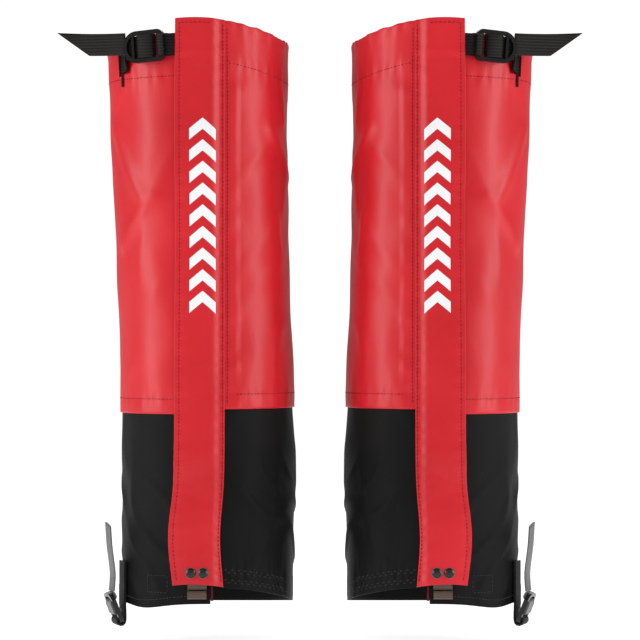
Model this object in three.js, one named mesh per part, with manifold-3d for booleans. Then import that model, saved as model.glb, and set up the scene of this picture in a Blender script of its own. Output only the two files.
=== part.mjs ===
// A pair of hiking gaiters: two fabric sleeves with a full-length front flap, a top
// strap with a ladder-lock buckle, a steel lace hook and a stirrup strap under the boot.
// Millimetres, +Z up the leg, -Y to the front of the leg, the pair centred on x = 0.
// "left" is the sleeve at negative x. The right one is its mirror image.

import * as THREE from 'three';
import { mergeVertices } from 'three/addons/utils/BufferGeometryUtils.js';
import Module from 'manifold-3d';

const wasm = await Module();
wasm.setup();

// ---------------------------------------------------------------- driving sizes

// Sleeve outline. Every sleeve is an upright ellipse that leans outward above the boot.
const BOOT_CENTRE_X = 80.3; // sleeve axis from the pair's middle, at the boot
const LEAN_START_Z = 110; // the lean begins here
const LEG_LEAN = 0.0245; // outward shift for each mm of height
const WIDTH_STATIONS = [ // [height, half width]
  [0, 62.4],
  [110, 62.6],
  [190, 61.5],
  [261, 61.8],
  [420, 65.0],
];
const DEPTH_RATIO = 0.91; // half depth over half width

// Cut edges
const RIM_SIDE_Z = 401; // inner panel's top edge at the side of the leg
const RIM_FRONT_RISE = 13; // how much higher it is at the front
const RIM_OUTER_DROP = 5; // the outer panel is closed a little lower
const SEAM_Z = 140; // lower edge of the upper panels
const SEAM_MISMATCH = 1.8; // outer panel lower, inner panel higher
const SEAM_OVERLAP = 12; // the boot panel runs up inside the upper panel
const HEM_SIDE_Z = 3.5;
const HEM_BACK_DROP = 5;
const HEM_INNER_RISE = 14; // front rise of the inner boot panel's hem
const HEM_OUTER_RISE = 4; // front rise of the outer boot panel's hem

// Cloth and clearance
const WALL = 1.2; // coated cloth with its turned edges
const GAP = 0.3; // between pieces that touch
const BACK_SEAM_GAP = 0.3;

// Front closure, by x on the left sleeve
const OUTER_EDGE_X = -76.3; // front edge of the outer panels
const INNER_EDGE_X = -70; // front edge of the inner panels
const BINDING_WIDTH = 1.5;
const BINDING_THICKNESS = 1.8;
const BINDING_ABOVE_HEM = 0.5;
const TAPE_WIDTH = 19;
const TAPE_THICKNESS = 1.0;
const TAPE_BOTTOM_Z = 44;
const TAPE_TOP_Z = 383;
const FLAP_SEWN_X = -66.7;
const FLAP_WIDTH = 33.6;
const FLAP_SEAM_WIDTH = 3.8; // strip of the flap that lies on the inner panel
const FLAP_STEP_WIDTH = 3.3;
const FLAP_THICKNESS = 1.0;
const FLAP_TOP_ABOVE_RIM = 0.6;
const FLAP_BOTTOM_Z = 20.5;
const FLAP_BOTTOM_ARCH = 1.6;

// Top casing and strap
const CASING_DEPTH = 29;
const FACING_THICKNESS = 0.8;
const FACING_LIP = 4; // edge strip of the facing that is sewn flat to the panel
const FACING_SLOPE = 2; // height over which it rises to the tunnel
const FACING_END_GAP = 1; // the facing stops short of the panel's front edge
const WEB_WIDTH = 15.6;
const WEB_THICKNESS = 1.4;
const SLIT_X = -137.5; // where the strap leaves the casing
const SLIT_WIDTH = 9;
const SLIT_HEIGHT = WEB_WIDTH + 2;
const BUCKLE_WEB_Z = 397.3; // centre line of the web that holds the top buckle
const WEB_INSIDE_FLAP = 0.8; // clear of the flap's step
const WEB_LEAVES_PANEL = 6.5; // before the buckle's fixed end
const BAR_TACK_SIZE = [1.6, 0.9, 9]; // width, thickness, height
const BAR_TACK_Z = 372.5;

// Ladder-lock buckles: the top one and the shorter one at the stirrup. Rungs are placed along
// the buckle from its middle towards the thumb end.
const LOCK_TOP = { length: 31, width: 22.4, thickness: 3.2, rungs: [-4.6, 1.2, 8.2], tabRadius: 10.4 };
const LOCK_STIRRUP = { length: 23, width: 21, thickness: 3.0, rungs: [-2.4, 3.2], tabRadius: 5 };
const LOCK_RAIL = 2.9; // side rail
const LOCK_END_BAR = 3.0; // bar that the fixed web goes round
const LOCK_TAB_BAR = 2.8; // rounded thumb end
const LOCK_RUNG = 2.0;
const LOCK_RUNG_THICKNESS = 1.8;
const LOCK_CORNER = 4.5;
const WEB_TURN_STEPS = 40; // along a web that is threaded through a buckle
const BAR_CLEARANCE = 0.2; // web loop round the corners of the fixed bar

// Place of the top buckle on the left sleeve
const TOP_LOCK_CENTRE = [-122.2, -54.3, 394.6];
const TOP_LOCK_YAW = 22; // degrees that the buckle faces outward from straight ahead
const TOP_LOCK_ROLL = 4; // degrees that its fixed end is turned upward
const TOP_TAIL_Z = 397.0;
const TOP_TAIL_LENGTH = 53; // along the top edge of the tail, beyond the buckle
const TOP_TAIL_SLANT = 25; // the end is cut at a slant this long

// Stirrup hardware on the outer side
const STIRRUP_ANGLE = -73.5; // round the sleeve from the front
const STIRRUP_FACING = 72; // degrees that the hardware faces outward from straight ahead
const TAB_TOP_Z = 33;
const STIRRUP_BAR_Z = -8.9; // lower bar of the stirrup buckle
const STIRRUP_LOCK_TILT = 22; // degrees from upright
const STIRRUP_WEB_WIDTH = 14.4;
const STIRRUP_WEB_THICKNESS = 1.5;
const STIRRUP_TAIL_TOP_Z = 60.5;
const STIRRUP_TAIL_TOP_OUT = 12.2; // from the boot's wall
const STIRRUP_TAIL_GAP = 0.8; // between the turned strap and the foot of the tail
const STIRRUP_RUN_START = -88; // degrees round the sleeve
const STIRRUP_RUN_END = -254;
const STIRRUP_RUN_START_Z = 8;
const STIRRUP_RUN_END_Z = 12.5;
const STIRRUP_RUN_GAP = 1.0;

// Lace hook and its rivets
const HOOK_X = -85.6;
const HOOK_WIDTH = 13.3;
const HOOK_SHEET = 0.9;
const HOOK_BEHIND_FLAP = 1.15; // flat plate behind a curved flap
const HOOK_TOP_Z = 33.5;
const HOOK_BOTTOM_Z = 9.6;
const HOOK_MOUTH = 4.8;
const HOOK_LIP_Z = 15.6;
const HOOK_BEND_STEPS = 6;
const HOOK_STEPS = 26; // along the whole sheet
const RIVET_Z = 28;
const RIVET_SPACING = 8.6;
const RIVET_CAP_RADIUS = 3.55;
const RIVET_CAP_HEIGHT = 1.5;
const RIVET_SHANK_RADIUS = 1.3;
const RIVET_HOLE_LENGTH = 12; // cutter, through the flap and the hook
const RIVET_HEAD_RADIUS = 2.4;
const RIVET_HEAD_THICKNESS = 0.6;
const WASHER_RADIUS = 3.9;
const WASHER_THICKNESS = 0.5;
const WASHER_OFF_FLAP = 0.9; // flat washer on the flap's curve

// Gathered elastic inside the inner boot panel's hem
const ELASTIC_WIDTH = 7;
const ELASTIC_THICKNESS = 0.9;
const ELASTIC_HEM_OFFSET = 2;
const ELASTIC_START = 0.03; // turn behind the panel's front edge, in radians
const ELASTIC_END = 66; // degrees round the sleeve

// Steps round a full turn, and up a panel
const STEPS_ROUND = 36;
const STEPS_UP = 4;
const CLOSURE_STEPS_UP = 10; // the flap and its tapes

// ---------------------------------------------------------------- the sleeve surface

const rad = THREE.MathUtils.degToRad;

function halfWidth(z) {
  const last = WIDTH_STATIONS.length - 1;
  if (z <= WIDTH_STATIONS[0][0]) return WIDTH_STATIONS[0][1];
  if (z >= WIDTH_STATIONS[last][0]) return WIDTH_STATIONS[last][1];
  const i = WIDTH_STATIONS.findIndex(([height]) => height > z);
  const [z0, w0] = WIDTH_STATIONS[i - 1];
  const [z1, w1] = WIDTH_STATIONS[i];
  return THREE.MathUtils.lerp(w0, w1, (z - z0) / (z1 - z0));
}

function centreX(z) {
  return -BOOT_CENTRE_X - LEG_LEAN * Math.max(0, z - LEAN_START_Z);
}

// Outward unit normal in plan. The angle runs from the front (0) towards +x (90).
function outward(angle, z) {
  const a = halfWidth(z);
  const b = a * DEPTH_RATIO;
  return new THREE.Vector2(Math.sin(angle) / a, -Math.cos(angle) / b).normalize();
}

// A point on the sleeve, moved out by a distance along the normal.
function onSleeve(angle, z, out = 0) {
  const a = halfWidth(z);
  const b = a * DEPTH_RATIO;
  const n = outward(angle, z);
  return new THREE.Vector3(
    centreX(z) + a * Math.sin(angle) + out * n.x,
    -b * Math.cos(angle) + out * n.y,
    z,
  );
}

// The angle at which the front of the sleeve has this x.
function angleAtX(x, z) {
  return Math.asin((x - centreX(z)) / halfWidth(z));
}

// ---------------------------------------------------------------- closed shapes

// A closed slab from a grid of outer points and a matching grid of inner points.
function slab(columns, rows, outerPoint, innerPoint) {
  const positions = [];
  const index = [];
  const across = rows + 1;
  for (const point of [outerPoint, innerPoint]) {
    for (let i = 0; i <= columns; i += 1) {
      for (let j = 0; j <= rows; j += 1) {
        positions.push(...point(i / columns, j / rows).toArray());
      }
    }
  }
  const outer = (i, j) => i * across + j;
  const inner = (i, j) => (columns + 1) * across + i * across + j;
  const quad = (a, b, c, d) => index.push(a, b, c, a, c, d);
  for (let i = 0; i < columns; i += 1) {
    for (let j = 0; j < rows; j += 1) {
      quad(outer(i, j), outer(i + 1, j), outer(i + 1, j + 1), outer(i, j + 1));
      quad(inner(i, j), inner(i, j + 1), inner(i + 1, j + 1), inner(i + 1, j));
    }
    quad(outer(i, 0), inner(i, 0), inner(i + 1, 0), outer(i + 1, 0));
    quad(outer(i, rows), outer(i + 1, rows), inner(i + 1, rows), inner(i, rows));
  }
  for (let j = 0; j < rows; j += 1) {
    quad(outer(0, j), outer(0, j + 1), inner(0, j + 1), inner(0, j));
    quad(outer(columns, j), inner(columns, j), inner(columns, j + 1), outer(columns, j + 1));
  }
  const geometry = new THREE.BufferGeometry();
  geometry.setAttribute('position', new THREE.Float32BufferAttribute(positions, 3));
  geometry.setIndex(index);
  return geometry;
}

// A band of the sleeve between two angles and two heights. Each limit and offset is a function.
function sleeveBand({ from, to, bottom, top, out, thickness, columns, rows }) {
  const place = (u, v, depth) => {
    const guess = THREE.MathUtils.lerp(from(SEAM_Z), to(SEAM_Z), u);
    const z = THREE.MathUtils.lerp(bottom(guess), top(guess), v);
    const angle = THREE.MathUtils.lerp(from(z), to(z), u);
    return onSleeve(angle, z, out(angle, z, v) - depth);
  };
  return slab(columns, rows, (u, v) => place(u, v, 0), (u, v) => place(u, v, thickness));
}

// A flat ribbon that follows a path in a plane. Its width runs along the plane's normal.
function ribbon(path, thickness, width, steps) {
  const curve = new THREE.CatmullRomCurve3(
    path.map(([x, y]) => new THREE.Vector3(x, y, 0)),
    false,
    'centripetal',
  );
  const points = curve.getSpacedPoints(steps);
  const shape = new THREE.Shape();
  const side = (i, sign) => {
    const before = points[Math.max(0, i - 1)];
    const after = points[Math.min(steps, i + 1)];
    const along = after.clone().sub(before).normalize();
    const half = (sign * thickness) / 2;
    return new THREE.Vector2(points[i].x - along.y * half, points[i].y + along.x * half);
  };
  const outline = [];
  for (let i = 0; i <= steps; i += 1) outline.push(side(i, 1));
  for (let i = steps; i >= 0; i -= 1) outline.push(side(i, -1));
  shape.setFromPoints(outline);
  const geometry = new THREE.ExtrudeGeometry(shape, { depth: width, bevelEnabled: false });
  return geometry.translate(0, 0, -width / 2);
}

function bareMesh(geometry) {
  const bare = geometry.clone();
  bare.deleteAttribute('normal');
  bare.deleteAttribute('uv');
  return mergeVertices(bare, 1e-4);
}

function flipFaces(geometry) {
  const index = Array.from(geometry.index.array);
  for (let i = 0; i < index.length; i += 3) [index[i], index[i + 1]] = [index[i + 1], index[i]];
  geometry.setIndex(index);
  return geometry;
}

// Turns a closed mesh right side out after a change of axes that mirrored it.
function rightSideOut(geometry) {
  const merged = bareMesh(geometry);
  const corner = [0, 1, 2].map(() => new THREE.Vector3());
  let volume = 0;
  for (let i = 0; i < merged.index.count; i += 3) {
    corner.forEach((c, k) => c.fromBufferAttribute(merged.attributes.position, merged.index.getX(i + k)));
    volume += corner[0].dot(corner[1].clone().cross(corner[2]));
  }
  return volume < 0 ? flipFaces(merged) : merged;
}

function toManifold(geometry) {
  const merged = rightSideOut(geometry);
  return new wasm.Manifold(new wasm.Mesh({
    numProp: 3,
    vertProperties: new Float32Array(merged.attributes.position.array),
    triVerts: new Uint32Array(merged.index.array),
  }));
}

function fromManifold(solid) {
  const mesh = solid.getMesh();
  const geometry = new THREE.BufferGeometry();
  geometry.setAttribute('position', new THREE.Float32BufferAttribute(mesh.vertProperties, 3));
  geometry.setIndex(Array.from(mesh.triVerts));
  return geometry;
}

function subtract(geometry, cutters) {
  let solid = toManifold(geometry);
  for (const cutter of cutters) {
    solid = solid.subtract(toManifold(cutter));
  }
  return fromManifold(solid);
}

function join(geometries) {
  return fromManifold(geometries.map(toManifold).reduce((a, b) => a.add(b)));
}

function box(width, depth, height, x = 0, y = 0, z = 0) {
  return new THREE.BoxGeometry(width, depth, height).translate(x, y, z);
}

// ---------------------------------------------------------------- cut edges of the panels

const FRONT_SHARE = (angle) => Math.max(0, Math.cos(angle));
const BACK_SHARE = (angle) => Math.max(0, -Math.cos(angle));

const innerRim = (angle) => RIM_SIDE_Z + RIM_FRONT_RISE * FRONT_SHARE(angle) ** 2;
const outerRim = (angle) => innerRim(angle) - RIM_OUTER_DROP * (1 - BACK_SHARE(angle));
const innerSeam = (angle) => SEAM_Z + SEAM_MISMATCH * (1 - BACK_SHARE(angle));
const outerSeam = (angle) => SEAM_Z - SEAM_MISMATCH * (1 - BACK_SHARE(angle));
const hem = (angle, rise) => (
  HEM_SIDE_Z + rise * FRONT_SHARE(angle) ** 1.3 - HEM_BACK_DROP * BACK_SHARE(angle)
);
const innerHem = (angle) => hem(angle, HEM_INNER_RISE);
const outerHem = (angle) => hem(angle, HEM_OUTER_RISE);

// Centre line of the strap inside the casing. The angle may run past half a turn.
function strapZ(angle) {
  const rim = Math.sin(angle) >= 0 ? innerRim(angle) : outerRim(angle);
  return rim - CASING_DEPTH / 2;
}

const backAngle = Math.PI - BACK_SEAM_GAP / 2 / (halfWidth(SEAM_Z) * DEPTH_RATIO);
const outerFront = (z) => angleAtX(OUTER_EDGE_X, z);
const innerFront = (z) => angleAtX(INNER_EDGE_X, z);
const slitAngle = () => angleAtX(SLIT_X, RIM_SIDE_Z - CASING_DEPTH / 2);
const toOuterBack = () => -backAngle;
const toInnerBack = () => backAngle;
const BOOT_INSET = -WALL - GAP; // the boot panels lie inside the upper panels

// ---------------------------------------------------------------- sleeve panels

function halfSleeve(side, bottom, top, out) {
  const isOuter = side === 'outer';
  return sleeveBand({
    from: isOuter ? toOuterBack : innerFront,
    to: isOuter ? outerFront : toInnerBack,
    bottom,
    top,
    out: () => out,
    thickness: WALL,
    columns: STEPS_ROUND / 2,
    rows: STEPS_UP,
  });
}

function upperOuterPanel() {
  const panel = halfSleeve('outer', outerSeam, outerRim, 0);
  const angle = slitAngle();
  const at = onSleeve(angle, strapZ(angle));
  const n = outward(angle, at.z);
  const slit = new THREE.BoxGeometry(SLIT_WIDTH, 4 * WALL, SLIT_HEIGHT);
  slit.rotateZ(Math.atan2(n.y, n.x) + Math.PI / 2);
  slit.translate(at.x, at.y, at.z);
  return subtract(panel, [slit]);
}

const upperInnerPanel = () => halfSleeve('inner', innerSeam, innerRim, 0);
const bootOuterPanel = () => halfSleeve('outer', outerHem, (a) => outerSeam(a) + SEAM_OVERLAP, BOOT_INSET);
const bootInnerPanel = () => halfSleeve('inner', innerHem, (a) => innerSeam(a) + SEAM_OVERLAP, BOOT_INSET);

// The facing is the turned-in top edge. It lies against the panel at its top and bottom edges,
// and stands clear of it between them, so that the strap has a tunnel.
function casingFacing(side) {
  const isOuter = side === 'outer';
  const rim = isOuter ? outerRim : innerRim;
  const tunnel = WEB_THICKNESS + GAP;
  const slopeEnd = FACING_LIP + FACING_SLOPE;
  const rows = [0, FACING_LIP, slopeEnd, CASING_DEPTH - slopeEnd, CASING_DEPTH - FACING_LIP, CASING_DEPTH];
  const depths = [0, 0, tunnel, tunnel, 0, 0];
  const from = isOuter ? toOuterBack() : angleAtX(INNER_EDGE_X + FACING_END_GAP, RIM_SIDE_Z);
  const to = isOuter ? angleAtX(OUTER_EDGE_X - FACING_END_GAP, RIM_SIDE_Z) : toInnerBack();
  const place = (u, v, extra) => {
    const angle = THREE.MathUtils.lerp(from, to, u);
    const row = Math.round(v * (rows.length - 1));
    const z = rim(angle) - CASING_DEPTH + rows[row];
    return onSleeve(angle, z, -WALL - GAP - depths[row] - extra);
  };
  const columns = STEPS_ROUND / 2;
  const outerFace = (u, v) => place(u, v, 0);
  const innerFace = (u, v) => place(u, v, FACING_THICKNESS);
  return slab(columns, rows.length - 1, outerFace, innerFace);
}

// ---------------------------------------------------------------- front closure

function frontBinding() {
  const right = OUTER_EDGE_X + GAP + BINDING_WIDTH;
  return sleeveBand({
    from: (z) => angleAtX(OUTER_EDGE_X + GAP, z),
    to: (z) => angleAtX(right, z),
    bottom: () => outerHem(outerFront(0)) + BINDING_ABOVE_HEM,
    top: () => TAPE_TOP_Z,
    out: (angle, z) => (z < SEAM_Z ? BOOT_INSET : 0) + (BINDING_THICKNESS - WALL) / 2,
    thickness: BINDING_THICKNESS,
    columns: 1,
    rows: 2 * STEPS_UP,
  });
}

const FLAP_INNER_OUT = 3.5 * GAP + 2 * TAPE_THICKNESS; // flap's back face over the two tapes

function tape(out, bottom) {
  const left = FLAP_SEWN_X - FLAP_WIDTH + 3;
  return sleeveBand({
    from: (z) => angleAtX(left, z),
    to: (z) => angleAtX(left + TAPE_WIDTH, z),
    bottom: () => bottom,
    top: () => TAPE_TOP_Z,
    out: () => out,
    thickness: TAPE_THICKNESS,
    columns: 3,
    rows: CLOSURE_STEPS_UP,
  });
}

const loopTape = () => tape(GAP + TAPE_THICKNESS, TAPE_BOTTOM_Z);
const hookTape = () => tape(2 * GAP + 2 * TAPE_THICKNESS, TAPE_BOTTOM_Z);

// Distance of the flap's back face from the sleeve: close at the sewn edge, then over the tapes.
function flapOut(x) {
  const stepEnd = FLAP_SEWN_X - FLAP_SEAM_WIDTH;
  const share = THREE.MathUtils.smoothstep(stepEnd - x, 0, FLAP_STEP_WIDTH);
  return THREE.MathUtils.lerp(GAP, FLAP_INNER_OUT, share);
}

const hookPlateY = () => {
  const angle = angleAtX(HOOK_X, RIVET_Z);
  return onSleeve(angle, RIVET_Z, FLAP_INNER_OUT).y + HOOK_BEHIND_FLAP;
};

function rivetPlaces() {
  return [-1, 1].map((side) => HOOK_X + (side * RIVET_SPACING) / 2);
}

function flap() {
  const xs = [0, 0.25, 0.45, 0.65, 0.79, 0.84, 0.885, 0.94, 1]
    .map((share) => FLAP_SEWN_X - FLAP_WIDTH * (1 - share));
  const columns = xs.length - 1;
  const place = (u, v, depth) => {
    const column = Math.round(u * columns);
    const x = xs[column];
    const arch = FLAP_BOTTOM_ARCH * (1 - (2 * u - 1) ** 2);
    const top = innerRim(angleAtX(x, RIM_SIDE_Z)) + FLAP_TOP_ABOVE_RIM;
    const z = THREE.MathUtils.lerp(FLAP_BOTTOM_Z + arch - FLAP_BOTTOM_ARCH, top, v);
    return onSleeve(angleAtX(x, z), z, flapOut(x) + FLAP_THICKNESS - depth);
  };
  const front = (u, v) => place(u, v, 0);
  const back = (u, v) => place(u, v, FLAP_THICKNESS);
  return subtract(slab(columns, CLOSURE_STEPS_UP, front, back), rivetPlaces().map(rivetHole));
}

function rivetHole(x) {
  const radius = RIVET_SHANK_RADIUS + GAP;
  const hole = new THREE.CylinderGeometry(radius, radius, RIVET_HOLE_LENGTH, 16);
  return hole.translate(x, hookPlateY(), RIVET_Z);
}

// ---------------------------------------------------------------- lace hook and rivets

function laceHook() {
  const radius = (HOOK_MOUTH + HOOK_SHEET) / 2;
  const arcZ = HOOK_BOTTOM_Z + HOOK_SHEET / 2 + radius;
  const arc = [];
  for (let step = 0; step <= HOOK_BEND_STEPS; step += 1) {
    const turn = (Math.PI * step) / HOOK_BEND_STEPS;
    arc.push([-radius + radius * Math.cos(turn), arcZ - radius * Math.sin(turn)]);
  }
  const plateMiddle = (HOOK_TOP_Z + arcZ) / 2;
  const path = [[0, HOOK_TOP_Z], [0, plateMiddle], ...arc, [-2 * radius, HOOK_LIP_Z]];
  const plate = ribbon(path, HOOK_SHEET, HOOK_WIDTH, HOOK_STEPS);
  // The ribbon's plane has -Y to the left and Z upward, and its width runs along X.
  plate.applyMatrix4(new THREE.Matrix4().makeBasis(
    new THREE.Vector3(0, 1, 0),
    new THREE.Vector3(0, 0, 1),
    new THREE.Vector3(1, 0, 0),
  ));
  plate.translate(HOOK_X, hookPlateY() + HOOK_SHEET / 2, 0);
  return subtract(plate, rivetPlaces().map(rivetHole));
}

function rivetFrontY(x) {
  return onSleeve(angleAtX(x, RIVET_Z), RIVET_Z, FLAP_INNER_OUT + FLAP_THICKNESS).y - WASHER_OFF_FLAP;
}

// A domed cap, a shank through the flap and the hook, and a flat head behind the hook.
function rivet(x) {
  const back = hookPlateY() + HOOK_SHEET + GAP;
  const front = rivetFrontY(x) - WASHER_THICKNESS - GAP;
  const length = back - front;
  const profile = [
    [0, -RIVET_HEAD_THICKNESS],
    [RIVET_HEAD_RADIUS, -RIVET_HEAD_THICKNESS],
    [RIVET_HEAD_RADIUS, 0],
    [RIVET_SHANK_RADIUS, 0],
    [RIVET_SHANK_RADIUS, length],
    [RIVET_CAP_RADIUS, length],
    [RIVET_CAP_RADIUS * 0.96, length + RIVET_CAP_HEIGHT * 0.4],
    [RIVET_CAP_RADIUS * 0.7, length + RIVET_CAP_HEIGHT * 0.85],
    [0, length + RIVET_CAP_HEIGHT],
  ].map(([r, h]) => new THREE.Vector2(r, h));
  const geometry = new THREE.LatheGeometry(profile, 20);
  return geometry.rotateX(Math.PI).translate(x, back, RIVET_Z);
}

function rivetWasher(x) {
  const inner = RIVET_SHANK_RADIUS + GAP;
  const profile = [
    [inner, 0],
    [WASHER_RADIUS, 0],
    [WASHER_RADIUS, WASHER_THICKNESS],
    [inner, WASHER_THICKNESS],
    [inner, 0],
  ].map(([r, h]) => new THREE.Vector2(r, h));
  return new THREE.LatheGeometry(profile, 20).rotateX(Math.PI).translate(x, rivetFrontY(x), RIVET_Z);
}

// ---------------------------------------------------------------- top strap

// The strap is sewn in beside the front edge, runs round the back inside the casing, and comes
// out of a slit on the outer side to reach the buckle.
const STRAP_IN_OUT = -WALL - GAP; // its outer face inside the casing
const STRAP_LEAD_OUT = GAP + WEB_THICKNESS; // its outer face once it is through the slit
const STRAP_SLIT_STEPS = 8;
const TURN_END_INSIDE = 0.3; // the turned strap ends this far inside the buckle's thumb end
const LEAD_END_GAP = 1.1; // the lead meets the turn at the buckle's small roll

function topStrap() {
  const start = angleAtX(INNER_EDGE_X + 2, RIM_SIDE_Z);
  const slit = slitAngle() + 2 * Math.PI;
  const halfSlit = (SLIT_WIDTH / 2 - GAP) / halfWidth(RIM_SIDE_Z);
  const angles = [];
  for (let i = 0; i <= STEPS_ROUND; i += 1) {
    angles.push(THREE.MathUtils.lerp(start, slit - halfSlit, i / STEPS_ROUND));
  }
  for (let i = 1; i <= STRAP_SLIT_STEPS; i += 1) {
    angles.push(THREE.MathUtils.lerp(slit - halfSlit, slit + halfSlit, i / STRAP_SLIT_STEPS));
  }
  const lock = topLockFrame();
  const leadU = LOCK_TOP.length / 2 - TURN_END_INSIDE + LEAD_END_GAP;
  const leadEnd = new THREE.Vector3(leadU, 0, LEAD_W).applyMatrix4(lock);
  const lockOut = new THREE.Vector3().setFromMatrixColumn(lock, 2);
  const columns = angles.length;
  const place = (u, v, depth) => {
    const step = Math.round(u * columns);
    const rise = (v - 0.5) * WEB_WIDTH;
    if (step === columns) {
      return leadEnd.clone().addScaledVector(lockOut, HALF_WEB - depth).setZ(leadEnd.z + rise);
    }
    const angle = angles[step];
    const share = THREE.MathUtils.smoothstep(angle, slit - halfSlit, slit + halfSlit);
    const out = THREE.MathUtils.lerp(STRAP_IN_OUT, STRAP_LEAD_OUT, share);
    return onSleeve(angle, strapZ(angle) + rise, out - depth);
  };
  return slab(columns, 1, (u, v) => place(u, v, 0), (u, v) => place(u, v, WEB_THICKNESS));
}

// ---------------------------------------------------------------- ladder-lock buckle

// In its own frame the buckle lies in the plane of u (towards the thumb end) and v (across),
// with w outward. The fixed bar is at negative u.
function ladderLock({ length, width, thickness, rungs, tabRadius }) {
  const half = length / 2;
  const side = width / 2;
  const outline = new THREE.Shape();
  const tabStart = half - tabRadius;
  outline.moveTo(-half + LOCK_CORNER, -side);
  outline.lineTo(tabStart, -side);
  outline.absellipse(tabStart, 0, tabRadius, side, -Math.PI / 2, Math.PI / 2, false, 0);
  outline.lineTo(-half + LOCK_CORNER, side);
  outline.absarc(-half + LOCK_CORNER, side - LOCK_CORNER, LOCK_CORNER, Math.PI / 2, Math.PI, false);
  outline.absarc(-half + LOCK_CORNER, -side + LOCK_CORNER, LOCK_CORNER, Math.PI, 1.5 * Math.PI, false);
  const window = new THREE.Path();
  const inside = side - LOCK_RAIL;
  window.moveTo(-half + LOCK_END_BAR, -inside);
  window.lineTo(tabStart, -inside);
  window.absellipse(tabStart, 0, tabRadius - LOCK_TAB_BAR, inside, -Math.PI / 2, Math.PI / 2, false, 0);
  window.lineTo(-half + LOCK_END_BAR, inside);
  window.lineTo(-half + LOCK_END_BAR, -inside);
  outline.holes.push(window);
  const frame = new THREE.ExtrudeGeometry(outline, {
    depth: thickness, bevelEnabled: false, curveSegments: 8,
  });
  const bars = rungs.map((u) => box(LOCK_RUNG, 2 * inside + 1, LOCK_RUNG_THICKNESS, u, 0, thickness / 2));
  return join([frame, ...bars]);
}

// Basis of a buckle: u along it, v across, w outward.
function frameAt(origin, u, v) {
  const w = new THREE.Vector3().crossVectors(u, v);
  return new THREE.Matrix4().makeBasis(u, v, w).setPosition(...origin);
}

function topLockFrame() {
  const yaw = rad(TOP_LOCK_YAW);
  const along = new THREE.Vector3(-Math.cos(yaw), Math.sin(yaw), 0);
  const up = new THREE.Vector3(0, 0, 1);
  const facing = new THREE.Vector3(-Math.sin(yaw), -Math.cos(yaw), 0);
  const roll = new THREE.Quaternion().setFromAxisAngle(facing, rad(TOP_LOCK_ROLL));
  // u x v has to point outward, so v runs downward.
  const u = along.applyQuaternion(roll);
  const v = up.negate().applyQuaternion(roll);
  return frameAt(TOP_LOCK_CENTRE, u, v);
}

const RUNG_TOP = (LOCK_TOP.thickness + LOCK_RUNG_THICKNESS) / 2;
const HALF_WEB = WEB_THICKNESS / 2;
const TAIL_W = -GAP - HALF_WEB; // centre of the web that leaves under the thumb end
const LEAD_W = TAIL_W - WEB_THICKNESS - GAP; // centre of the web that comes in below it
const OVER_W = RUNG_TOP + GAP + HALF_WEB + 0.15;

// A ribbon drawn in a buckle's u and w, with its width along v.
function intoLockPlane(piece) {
  return piece.applyMatrix4(new THREE.Matrix4().makeBasis(
    new THREE.Vector3(1, 0, 0),
    new THREE.Vector3(0, 0, 1),
    new THREE.Vector3(0, -1, 0),
  ));
}

// The strap comes in under the buckle, turns up round the first rung, lies over two rungs and
// leaves under the thumb end.
function ribbonInLock(path, width) {
  return intoLockPlane(ribbon(path, WEB_THICKNESS, width, WEB_TURN_STEPS));
}

function topStrapTurn() {
  const [first, second, third] = LOCK_TOP.rungs;
  const end = LOCK_TOP.length / 2 - TURN_END_INSIDE;
  const reach = first - LOCK_RUNG / 2 - GAP - HALF_WEB - 0.3;
  const path = [
    [end, LEAD_W],
    [second, LEAD_W],
    [first + 0.5, LEAD_W],
    [reach - 0.5, (LEAD_W + OVER_W) / 2 - 0.6],
    [reach + 0.3, OVER_W - 0.9],
    [first, OVER_W],
    [second - 0.4, OVER_W],
    [second + LOCK_RUNG / 2 + 0.7, OVER_W - 0.4],
    [(second + third) / 2 + 0.2, 1.0],
    [third - LOCK_RUNG / 2 - 0.6, TAIL_W + 0.35],
    [third + 0.4, TAIL_W],
    [end, TAIL_W],
  ];
  return ribbonInLock(path, WEB_WIDTH).applyMatrix4(topLockFrame());
}

// The tail leaves the buckle flat and level, and its end is cut at a slant.
function topStrapTail() {
  const half = WEB_WIDTH / 2;
  const outline = new THREE.Shape();
  outline.moveTo(0, -half);
  outline.lineTo(TOP_TAIL_LENGTH, -half);
  outline.lineTo(TOP_TAIL_LENGTH - TOP_TAIL_SLANT, half);
  outline.lineTo(0, half);
  outline.closePath();
  const tail = new THREE.ExtrudeGeometry(outline, { depth: WEB_THICKNESS, bevelEnabled: false });
  const yaw = rad(TOP_LOCK_YAW);
  const startU = LOCK_TOP.length / 2 - TURN_END_INSIDE + LEAD_END_GAP;
  const start = new THREE.Vector3(startU, 0, TAIL_W - HALF_WEB);
  start.applyMatrix4(topLockFrame()).setZ(TOP_TAIL_Z);
  const level = frameAt(
    start.toArray(),
    new THREE.Vector3(-Math.cos(yaw), Math.sin(yaw), 0),
    new THREE.Vector3(0, 0, -1),
  );
  return tail.applyMatrix4(level);
}

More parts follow.
